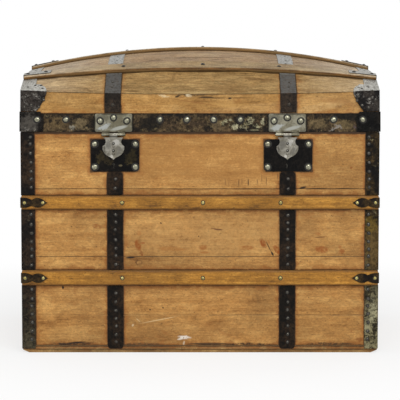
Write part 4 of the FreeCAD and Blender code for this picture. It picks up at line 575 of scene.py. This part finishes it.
# what the lid's slats have in common
LID_SLAT = dict(pale="#85592A", middle="#603E1B", dark="#2A190A", worn=1.0, stain=0.1, grey="#A48C66",
                clouds=(0.76, 1.12), fibres=(0.72, 1.18), gloss=0.1)
FINISH = {
    # pine, planed by hand and waxed: warm tan, softly mottled, with a low sheen and with rust and dirt
    # in the wax beside the irons
    "front_pine": sawn_wood("waxed_pine_front", "#C99958", "#B28145", "#885A28", irons=FRONT_IRONS,
                            seams=FRONT_SEAMS, marks=FRONT_MARKS, stain=0.65),
    # the same, a little browner where nobody has rubbed it
    "back_pine": sawn_wood("waxed_pine_back", "#C2935A", "#AA7C45", "#80552A", irons=BACK_IRONS,
                           seams=FRONT_SEAMS, stain=0.5),
    # the same on the ends, with its grain level from front to back
    "end_pine": sawn_wood("waxed_pine_ends", "#C6965B", "#AF814A", "#8A5C2C", along=1,
                          irons=END_IRONS, seams=END_SEAMS, across=1, stain=0.65),
    # the same on the ends of the lid, where dust under the bindings makes it browner and duller
    "lid_end_pine": sawn_wood("waxed_pine_lid_ends", "#B48C58", "#967045", "#6A4826", along=1,
                              irons=END_IRONS[3:4], seams=END_SEAMS, across=1, stain=0.5, gloss=0.15),
    # the same on the front of the lid, with the chipped edge under its shoulder
    "lid_front_pine": sawn_wood("waxed_pine_lid_front", "#C29659", "#A97E45", "#7B5226", irons=LID_IRONS,
                                seams=LID_SEAMS, marks=LID_MARKS, stain=0.5, dip=7.0, gloss=0.15),
    # pine whose wax has worn off and that has weathered: dry and greyish, its raised fibres in fine lines
    "shoulder_pine": sawn_wood("greyed_pine_shoulder", "#BA9459", "#9C7845", "#604222", irons=LID_IRONS,
                               seams=LID_SEAMS, marks=SHOULDER_MARKS, worn=0.35, stain=0.3, grey="#98835F",
                               clouds=(0.74, 1.14), fibres=(0.66, 1.20), dip=7.0, gloss=0.05, faded=0.34),
    # the same on the dome, which takes most of the dust: greyer still
    "dome_pine": sawn_wood("greyed_pine_dome", "#B59A70", "#967956", "#5C452C", irons=DOME_SLATS,
                           seams=STAVE_SEAMS, across=1, worn=0.5, stain=0.2, grey="#A68E74",
                           clouds=(0.76, 1.12), fibres=(0.70, 1.18), gloss=0.05),
    # ash, sawn into slats and oiled: ochre with brown streaks, a soft sheen and dark handled edges
    "slat_wood": sawn_wood("oiled_ash_slats", "#CB923E", "#A8742B", "#5E3C15", stain=0.3,
                           fibres=(0.80, 1.14), edges=SLAT_EDGES, rough=(0.32, 0.5)),
    # the same on the lid, dry and greyed on top, brown in front, and nearly black along the foot as a
    # painted shadow
    "shoulder_slat_wood": sawn_wood("oiled_ash_shoulder_slats", **LID_SLAT, edges=SHOULDER_SLAT_FOOT,
                                    dip=-21.0),
    "ridge_slat_wood": sawn_wood("oiled_ash_ridge_slat", **LID_SLAT, edges=RIDGE_SLAT_FOOT, dip=-46.5),
    # pine left rough at the foot: blotched with floor dirt
    "base_wood": sawn_wood("grimy_pine_base", "#BE9A62", "#97713F", "#4E351C", stain=0.6,
                           irons=BASE_JOINT, seams=BASE_SEAM, clouds=(0.62, 1.15)),
    # pine left bare inside as it was planed: pale and even
    "inner_wood": sawn_wood("bare_pine_inside", "#D0AC76", "#BF9860", "#9C7645", stain=0.15),
    # rolled sheet iron, japanned black by baking: a dull sheen, brown where the coat is thin, and grey
    # olive low down, where damp has taken it off
    "black_iron": rubbed_iron("black_japanned_iron", "#0E0B09", "#2A2017", "#7F775C", 0.25,
                              aged=(-230.0, 110.0)),
    # the same on the straps: an even brown black
    "strap_iron": rubbed_iron("brown_black_strap_iron", "#110D09", "#261C13", "#6E6652", 0.15),
    # the same on the right corner, where most of the coat is gone: olive grey with black left above
    "right_iron": rubbed_iron("olive_worn_iron", "#0E0B08", "#382C19", "#8C8464", 0.45,
                              aged=(-60.0, 300.0), marks=RIGHT_MARKS),
    # the same on the lid's band: brown and olive rust through black, with flakes of pale old varnish
    "band_iron": rubbed_iron("olive_patina_band_iron", "#1A1510", "#4A3C29", "#786B4C", 0.75,
                             marks=BAND_MARKS, under=ON_BAND),
    # the same on the band's clamps: blacker and glossier, rubbed grey at the left
    "clamp_black": rubbed_iron("black_band_clamp_iron", "#0A0908", "#171411", "#5B574C", 0.1,
                               marks=CLAMP_MARKS, rough=(0.22, 0.5), gloss=0.08),
    # sheet iron stamped in relief and japanned: pitted black in front, pale steel on top, rubbed bare and a
    # painted reflection of the sky
    "corner_iron": rubbed_iron("rubbed_sky_lit_lid_corner_iron", "#0B0909", "#2C2723", "#918C84", 0.85,
                               silver=(0.30, 0.62, 1.0)),
    # rolled strap over the lid: dark in front and below the dome's edge, pale steel on the dome, rubbed bare
    # and a painted reflection of the sky
    "lid_strap_iron": rubbed_iron("rubbed_sky_lit_lid_strap_iron", "#1A1511", "#2D241C", "#6F695A", 0.2,
                                  silver=(0.30, 0.62, 1.0), bare_and_sheen="#9A9994", dull=0.2),
    # the bindings and clamps of the dome: brown black at the ends, pale steel on top, rubbed bare and a
    # painted reflection of the sky
    "dome_iron": rubbed_iron("rubbed_sky_lit_dome_iron", "#1C1814", "#342A20", "#6F695A", 0.3,
                             silver=(0.3, 0.9, 1.0)),
    # stamped clamps on the slats: brown black, the coat thin from handling
    "clamp_iron": rubbed_iron("brown_clamp_iron", "#150F0A", "#362916", "#6E5F42", 0.25),
    # rolled steel, stamped and once tinned: dull grey with yellowish tarnish and rubbed streaks
    "latch_steel": stamped_steel("dull_stamped_steel", "#8B8776", "#635E4E", "#39352B",
                                 marks=LATCH_MARKS, size=30.0),
    # the same, filed smooth: cooler grey, brighter on the swell of the hasp by painted highlights
    "hasp_steel": stamped_steel("grey_hasp_steel", "#989489", "#6E6A5F", "#454138", spoiled=0.5,
                                marks=HASP_MARKS),
    # forged works of the lock, blackened in oil and kept dark as the painted shade seen through the keyhole:
    # dark with a grey gleam
    "lock_steel": stamped_steel("blackened_shaded_lock_steel", "#5A5750", "#46433D", "#2A2723"),
    # stove enamel on pressed plates: smooth gloss black, scuffed brown in places
    "black_enamel": rubbed_iron("gloss_black_enamel", "#070605", "#100D0A", "#453D28", 0.0,
                                rough=(0.10, 0.30), marks=PLATE_MARKS, depth=0.25),
    # pressed nail heads plated with nickel: a pale, slightly yellow gleam inside a dark ring of dirt and
    # painted shadow
    "nickel": stamped_steel("pale_nickel_plate", "#A19F8A", "#797766", "#4C4839", (0.20, 0.38), 5.0),
    # turned brass nails, dulled by air: straw yellow
    "brass": stamped_steel("dull_brass", "#BDB177", "#8C7E48", "#5E5230", (0.26, 0.45), 5.0),
    # cut tacks, blued and rubbed: dark grey with a small highlight
    "tack_steel": stamped_steel("rubbed_tack_heads", "#6A665E", "#423E37", "#221E19", (0.25, 0.45), 4.0),
    # the same left dark: brown black
    "dark_nail": stamped_steel("dark_nail_heads", "#4B463C", "#2B2620", "#15120E", (0.3, 0.5), 4.0),
}


# ---------------------------------------------------------------- pieces from the CAD parts
def islands(mesh):
    """Number of the loose island that each vertex belongs to, by passing the lowest number along edges."""
    edges = np.empty(len(mesh.edges) * 2, np.int64)
    mesh.edges.foreach_get("vertices", edges)
    a, b = edges.reshape(-1, 2).T
    label = np.arange(len(mesh.vertices))
    while True:
        low = np.minimum(label[a], label[b])
        before = label.copy()
        np.minimum.at(label, a, low)
        np.minimum.at(label, b, low)
        label = label[label]
        if np.array_equal(before, label):
            return np.unique(label, return_inverse=True)[1]


def points_of(mesh):
    """Places of a mesh's vertices, one to a row."""
    points = np.empty(len(mesh.vertices) * 3)
    mesh.vertices.foreach_get("co", points)
    return points.reshape(-1, 3)


def merged(name, joined=True):
    """Copy of a CAD part's mesh, its doubles merged and its flat faces joined."""
    mesh = NODES[name].data.copy()
    work = bmesh.new()
    work.from_mesh(mesh)
    bmesh.ops.remove_doubles(work, verts=work.verts, dist=2e-6)
    if joined:
        bmesh.ops.dissolve_limit(work, angle_limit=math.radians(1.0), verts=work.verts,
                                 edges=work.edges)
    work.to_mesh(mesh)
    work.free()
    return mesh


def number_boards(mesh):
    """Own number from 0 to 1 for every board, which its grain reads."""
    label = islands(mesh)
    rng = np.random.default_rng(len(mesh.vertices))
    share = rng.permutation(label.max() + 1) / (label.max() + 1) + rng.random() * 0.2
    mesh.attributes.new("board", "FLOAT", "POINT").data.foreach_set("value", share[label])


def show(name, mesh, finish, body, stands_for=(), smooth=38.0):
    """New piece on a body, smooth up to an angle between its faces."""
    mesh.materials.clear()
    mesh.materials.append(finish)
    if "clean_and_lit" not in mesh.attributes:
        mesh.attributes.new("clean_and_lit", "FLOAT", "POINT").data.foreach_set(
            "value", np.ones(len(mesh.vertices)))
    mesh.polygons.foreach_set("use_smooth", np.ones(len(mesh.polygons), bool))
    mesh.set_sharp_from_angle(angle=math.radians(smooth))
    piece = bpy.data.objects.new(name, mesh)
    SCENE.collection.objects.link(piece)
    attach(piece, body)
    if stands_for:
        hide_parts(*stands_for)
    return piece


def dress(names, finish, arris=0.4):
    """CAD parts as they are, with their arrises rounded by so many mm and a finish."""
    for name in names:
        mesh = merged(name)
        number_boards(mesh)
        piece = show(name + "_dressed", mesh, FINISH[finish], NODES[name]["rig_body"], [name])
        rounding = piece.modifiers.new("arrises", "BEVEL")
        rounding.width, rounding.segments = arris * MM, 2
        rounding.limit_method, rounding.angle_limit = "ANGLE", math.radians(40.0)
        rounding.harden_normals = True


dress(("front_bottom_board", "front_lower_board", "front_upper_board", "front_top_board"), "front_pine",
      0.6)
dress(("back_boards",), "back_pine", 0.6)
dress(("left_end_boards", "right_end_boards"), "end_pine", 0.6)
dress(("rim_tongue",), "inner_wood", 0.5)
dress(("bottom_skids", "floor_boards"), "base_wood", 0.8)
dress(("front_upper_slat", "front_lower_slat", "back_slats"), "slat_wood", 0.8)
dress(("front_left_corner_irons", "back_corner_irons"), "black_iron", 0.35)
dress(("front_straps", "back_straps"), "strap_iron", 0.35)
dress(("front_right_corner_irons",), "right_iron", 0.35)
dress(("front_slat_clamps", "back_slat_clamps"), "clamp_iron", 0.4)
dress(("left_lock_plate", "right_lock_plate"), "black_enamel", 0.7)
dress(("left_lock_case", "right_lock_case", "left_lock_spring", "right_lock_spring",
       "left_lock_bolt", "right_lock_bolt"), "lock_steel", 0.15)
dress(("left_hasp", "right_hasp"), "hasp_steel", 0.3)
dress(("latch_plates", "latch_pins"), "latch_steel", 0.3)
dress(("hinge_body_leaves", "hinge_lid_leaves", "hinge_pins"), "black_iron", 0.3)
dress(("left_handle_plate", "right_handle_plate", "left_bail", "right_bail"),
      "black_iron", 0.4)
dress(("lid_front_board",), "lid_front_pine", 0.6)
dress(("lid_front_shoulder",), "shoulder_pine", 0.6)
dress(("lid_staves", "lid_back_boards"), "dome_pine", 0.6)
dress(("lid_left_end", "lid_right_end"), "lid_end_pine", 0.6)
dress(("lid_front_slat", "lid_back_slat"), "shoulder_slat_wood", 0.8)
dress(("lid_ridge_slat",), "ridge_slat_wood", 0.8)
dress(("lid_slat_clamps", "lid_edge_bindings"), "dome_iron", 0.35)
dress(("lid_corner_irons",), "corner_iron", 0.4)
dress(("lid_straps",), "lid_strap_iron", 0.35)
dress(("lid_band",), "band_iron", 0.35)
dress(("band_corner_clamps",), "clamp_black", 0.4)


# ---------------------------------------------------------------- nails
# how far a tack driven by hand is from its place, in mm along each axis
STRAY = 0.9
# where the level rays start and the steep ones, in mm from the middle: outside the trunk on every side
FAR_Y, FAR_X, FAR_Z = 600.0, 700.0, 900.0


def nail_places(name):
    """Middle of the foot, direction and radius of every nail of a CAD part."""
    mesh = merged(name, joined=False)
    points, label = points_of(mesh), islands(mesh)
    bpy.data.meshes.remove(mesh)
    feet, facings, radii = [], [], []
    for number in range(label.max() + 1):
        own = points[label == number]
        middle = own.mean(0)
        facing = np.linalg.svd(own - middle)[2][2]
        up = (own - middle) @ facing
        out = np.linalg.norm((own - middle) - np.outer(up, facing), axis=1)
        if up[out > out.max() * 0.9].mean() > 0:
            facing, up = -facing, -up
        feet.append(middle + facing * up.min())
        facings.append(facing)
        radii.append(out.max())
    return np.array(feet), np.array(facings), np.array(radii)


def heads(feet, facings, radii, rise, around=18, rings=6, dent=0.05, skirt=1.35, seed=1):
    """Round heads, each a quarter ellipse turned about its direction.

    Each stands on a thin flat ring, dark as dirt and as a painted shadow round it, that is skirt times as
    wide, and is dented by a share dent of its size: the width goes in and out by the cosine of twice the
    turn. The attribute that the finish reads counts from 0 at the ring to 1 on the crown, and the finish
    paints the rim and the ring dark by it, as dirt and painted shade.
    """
    rng = np.random.default_rng(seed)
    count = len(feet)
    turn = np.arange(around) * 2 * np.pi / around
    climb = np.linspace(0.0, 1.0, rings)[:-1]
    wide = np.concatenate([[skirt, 1.0], np.cos(climb * np.pi / 2)])
    # the dark ring, of dirt and painted shadow, is a fiftieth of the head's height at its rim, and the head
    # never comes down to it
    high = np.concatenate([[0.02, 0.04], np.maximum(np.sin(climb * np.pi / 2), 0.06)])
    clean_and_lit = np.concatenate([[0.0, 0.0], 0.12 + 0.88 * climb])
    helper = np.where(np.abs(facings[:, 2:]) > 0.9, [[1.0, 0.0, 0.0]], [[0.0, 0.0, 1.0]])
    side = np.cross(facings, helper)
    side /= np.linalg.norm(side, axis=1)[:, None]
    other = np.cross(facings, side)
    radius = radii * (1 + dent * rng.uniform(-1, 0.4, count))
    height = np.broadcast_to(rise, (count,)) * (1 - 2 * dent * rng.uniform(0, 1, count))
    lump = 1 + dent * np.cos(2 * (turn[None, :] + rng.uniform(0, 6.28, (count, 1))))
    flat = (radius[:, None, None] * wide[None, :, None] * lump[:, None, :])[..., None] * (
        np.cos(turn)[None, None, :, None] * side[:, None, None]
        + np.sin(turn)[None, None, :, None] * other[:, None, None])
    rise = (height[:, None] * high)[:, :, None, None] * facings[:, None, None]
    points = feet[:, None, None] + flat + rise
    crown = feet + facings * height[:, None]
    rows = len(wide)
    points = np.concatenate([points.reshape(count, -1, 3), crown[:, None]], 1).reshape(-1, 3)
    ring = np.arange(rows - 1)[:, None] * around
    j, k = np.arange(around), (np.arange(around) + 1) % around
    quads = np.stack([ring + j, ring + k, ring + around + k, ring + around + j], -1).reshape(-1, 4)
    last = (rows - 1) * around
    caps = np.stack([last + j, last + k, np.full(around, rows * around)], -1)
    start = (np.arange(count) * (rows * around + 1))[:, None, None]
    base = np.arange(around)[::-1]
    faces = [*(quads + start).reshape(-1, 4).tolist(), *(caps + start).reshape(-1, 3).tolist(),
             *(base + start[:, :, 0]).tolist()]
    mesh = bpy.data.meshes.new("heads")
    mesh.from_pydata(points.tolist(), [], faces)
    share = np.tile(np.append(np.repeat(clean_and_lit, around), 1.0), count)
    mesh.attributes.new("clean_and_lit", "FLOAT", "POINT").data.foreach_set("value", share)
    return mesh


def nails(name, finish, slot, rise, **shape):
    """Round heads, rise mm high, where the nails of a CAD part are."""
    feet, facings, radii = nail_places(name)
    mesh = heads(feet, facings, radii, rise * MM, **shape)
    show(name + "_heads", mesh, FINISH[finish], NODES[name]["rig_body"], [name], smooth=60.0)


def tacks(name, rays, radius=3.1, rise=1.5, finish="tack_steel", label="tacks",
          seed=1):
    """Small heads on a CAD part, where each ray (start in mm, way) first meets it."""
    mesh = NODES[name].data
    corners = np.empty(len(mesh.polygons) * 3, np.int64)
    mesh.polygons.foreach_get("vertices", corners)
    skin = BVHTree.FromPolygons(points_of(mesh).tolist(), corners.reshape(-1, 3).tolist())
    rng = np.random.default_rng(seed)
    feet, facings = [], []
    for start, way in rays:
        start = Vector(start) + Vector(rng.uniform(-STRAY, STRAY, 3))
        place, facing = skin.ray_cast(start * MM, Vector(way).normalized())[:2]
        if place is not None:
            feet.append(place)
            facings.append(facing if facing.dot(Vector(way)) < 0 else -facing)
    if feet:
        mesh = heads(np.array(feet), np.array(facings), np.full(len(feet), radius * MM), rise * MM,
                     around=9, rings=4, dent=0.08, skirt=1.4, seed=seed)
        show(name + "_" + label, mesh, FINISH[finish], NODES[name]["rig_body"], smooth=60.0)


def ahead(places):
    """Rays level from the front through each (x, z)."""
    return [((x, -FAR_Y, z), (0.0, 1.0, 0.0)) for x, z in places]


def behind(places):
    """Rays level from the back through each (x, z)."""
    return [((x, FAR_Y, z), (0.0, -1.0, 0.0)) for x, z in places]


def abreast(places, side):
    """Rays level from one side through each (y, z)."""
    return [((side * FAR_X, y, z), (-side, 0.0, 0.0)) for y, z in places]


def above(places):
    """Rays straight down through each (x, y)."""
    return [((x, y, FAR_Z), (0.0, 0.0, -1.0)) for x, y in places]


def sloping(places):
    """Rays from the lens to each (x, z) in the plane of the front, which meet the lid behind it."""
    return [(EYE, Vector((x, FRONT_Y, z)) - Vector(EYE)) for x, z in places]


nails("band_dome_nails", "nickel", "nickel_nails", 4.4, seed=3)
nails("lock_plate_nails", "nickel", "nickel_nails", 4.4, seed=4)
nails("body_slat_nails", "brass", "brass_nails", 2.2, around=14, rings=5, skirt=1.3, seed=5)
nails("lid_slat_nails", "dark_nail", "brass_nails", 2.2, around=14, rings=5, skirt=1.3, seed=6)

# the tacks of the corner irons are in their middle in front and behind, and a little lower on the ends
CORNER_X, CORNER_Y, LOWER = 374.5, 228.5, 8.0
for side, name in ((-1.0, "front_left_corner_irons"), (1.0, "front_right_corner_irons")):
    tacks(name, ahead([(side * CORNER_X, z) for z in CORNER_TACKS])
          + abreast([(-CORNER_Y, z - LOWER) for z in CORNER_TACKS], side), seed=11)
    tacks("back_corner_irons", behind([(side * CORNER_X, z) for z in CORNER_TACKS])
          + abreast([(CORNER_Y, z - LOWER) for z in CORNER_TACKS], side), seed=12,
          label="left_tacks" if side < 0 else "right_tacks")
tacks("front_straps", ahead([(x + 1.0, z) for x in STRAP_X for z in STRAP_TACKS]), 2.9, 1.3, seed=13)
tacks("back_straps", behind([(x, z) for x in STRAP_X for z in STRAP_TACKS]), 2.9, 1.3, seed=14)

# on the lid they are dark where the iron is painted pale, as bare steel and reflected sky
tacks("lid_straps", sloping([(x, z) for x in LID_STRAP_X for z in (554.7, 594.4, 604.6)]), 2.8, 1.2,
      "dark_nail", seed=15)
tacks("lid_straps", above([(x + 1.0, y) for x in LID_STRAP_X
                           for y in (-152.0, -126.0, -102.0, -60.0, 60.0, 102.0, 126.0, 152.0, 215.0)]),
      2.0, 0.8, "dark_nail", "top_tacks", seed=16)
tacks("lid_corner_irons", sloping([
    (-372.3, 604.6), (-350.1, 597.1), (-363.2, 596.4), (-378.8, 593.5), (-347.0, 590.4), (358.3, 589.7),
    (372.3, 594.4), (381.0, 584.1)]), 2.4, 1.1, "dark_nail", "upper_tacks", seed=17)
tacks("lid_corner_irons", sloping([
    (-372.3, 555.0), (-356.0, 549.0), (-346.0, 566.0), (-386.0, 572.0), (-388.0, 550.0), (349.6, 573.7),
    (347.5, 564.1), (358.5, 553.6), (372.3, 548.1), (388.0, 566.0)]), 2.4, 1.1, seed=22)
for side, hand in ((-1.0, "left"), (1.0, "right")):
    tacks("lid_edge_bindings", above([(side * 381.0, y) for y in np.linspace(-158.0, 158.0, 9)]), 2.4, 1.0,
          "dark_nail", hand + "_tacks", seed=18)
    tacks(hand + "_handle_plate", abreast([(y, z) for y in (-74.0, 74.0) for z in (302.0, 334.0)], side),
          3.8, 1.8, seed=19)
for name, heights, seed in (("hinge_body_leaves", (452.0, 474.0), 20),
                            ("hinge_lid_leaves", (516.0, 538.0), 21)):
    tacks(name, behind([(x + step, z) for x in HINGE_X for step in (-19.0, 19.0) for z in heights]),
          3.4, 1.5, seed=seed)


# ---------------------------------------------------------------- floor, light and camera
def seen_rays(tree):
    """1 on rays from the lens, off gloss and through glass, and 0 on those that carry light."""
    seen = 0.0
    for kind in ("Is Camera Ray", "Is Glossy Ray", "Is Transmission Ray"):
        seen = add(tree, "Math", (0, seen), (1, add(tree, "LightPath", out=kind)), operation="MAXIMUM")
    return seen


def pale_stage(radius=30.0, sides=64):
    """Round floor that fades to plain white away from the trunk, and a white world."""
    turn = np.linspace(0, 2 * np.pi, sides + 1)[:-1]
    rim = np.stack([radius * np.cos(turn), radius * np.sin(turn), 0 * turn], -1)
    mesh = bpy.data.meshes.new("floor")
    mesh.from_pydata(rim.tolist(), [], [list(range(sides))])
    floor = bpy.data.objects.new("floor", mesh)
    SCENE.collection.objects.link(floor)
    # matt white paper: it keeps the trunk's shadow, and goes over to plain white from 0.45 to 1.3 m away
    material, tree, place = new_finish("matt_white_floor")
    seen = seen_rays(tree)
    away = add(tree, "VectorMath", (0, place), operation="LENGTH", out="Value")
    fade = add(tree, "MapRange", (0, away), (1, 0.45), (2, 1.3), (3, 0.72), (4, 1.0))
    share = add(tree, "Math", (0, seen), (1, fade), operation="MULTIPLY")
    matt = add(tree, "BsdfDiffuse", ("Color", "#F4F4F3"))
    white = add(tree, "Emission", ("Color", "#FFFFFF"), ("Strength", 1.0))
    add(tree, "OutputMaterial", ("Surface", add(tree, "MixShader", (0, share), (1, matt), (2, white))))
    mesh.materials.append(material)

    world = bpy.data.worlds.new("soft_white_room")
    SCENE.world = world
    world.use_nodes = True
    tree = world.node_tree
    tree.nodes.clear()
    seen = seen_rays(tree)
    glow = add(tree, "Background", ("Color", "#FFFFFF"), ("Strength", 0.38))
    white = add(tree, "Background", ("Color", "#FFFFFF"), ("Strength", 1.0))
    add(tree, "OutputWorld", ("Surface", add(tree, "MixShader", (0, seen), (1, glow), (2, white))))


def lamp(name, place, target, size, power):
    """Softbox of so many metres and watts, at a place and turned to a target."""
    light = bpy.data.lights.new(name, "AREA")
    light.shape, light.size, light.size_y, light.energy = "RECTANGLE", size[0], size[1], power
    holder = bpy.data.objects.new(name, light)
    SCENE.collection.objects.link(holder)
    holder.location = place
    holder.rotation_euler = (Vector(target) - Vector(place)).to_track_quat("-Z", "Y").to_euler()


pale_stage()
lamp("high_front_softbox", (0.5, -2.3, 2.4), (0.0, 0.0, 0.35), (2.2, 1.4), 53.0)
lamp("left_softbox", (-2.6, -1.4, 1.3), (0.0, 0.0, 0.3), (1.6, 1.6), 12.0)
lamp("top_softbox", (0.0, 0.3, 2.8), (0.0, 0.0, 0.4), (2.2, 1.8), 16.0)

# the lens looks 4.4 degrees down
camera = bpy.data.objects.new("camera", bpy.data.cameras.new("camera"))
SCENE.collection.objects.link(camera)
camera.location = [value * MM for value in EYE]
camera.rotation_euler = (math.radians(90.0 - 4.4), 0.0, 0.0)
camera.data.sensor_width, camera.data.lens = 36.0, 134.5
camera.data.shift_y = -0.0955
SCENE.camera = camera
SCENE.view_settings.view_transform = "Standard"
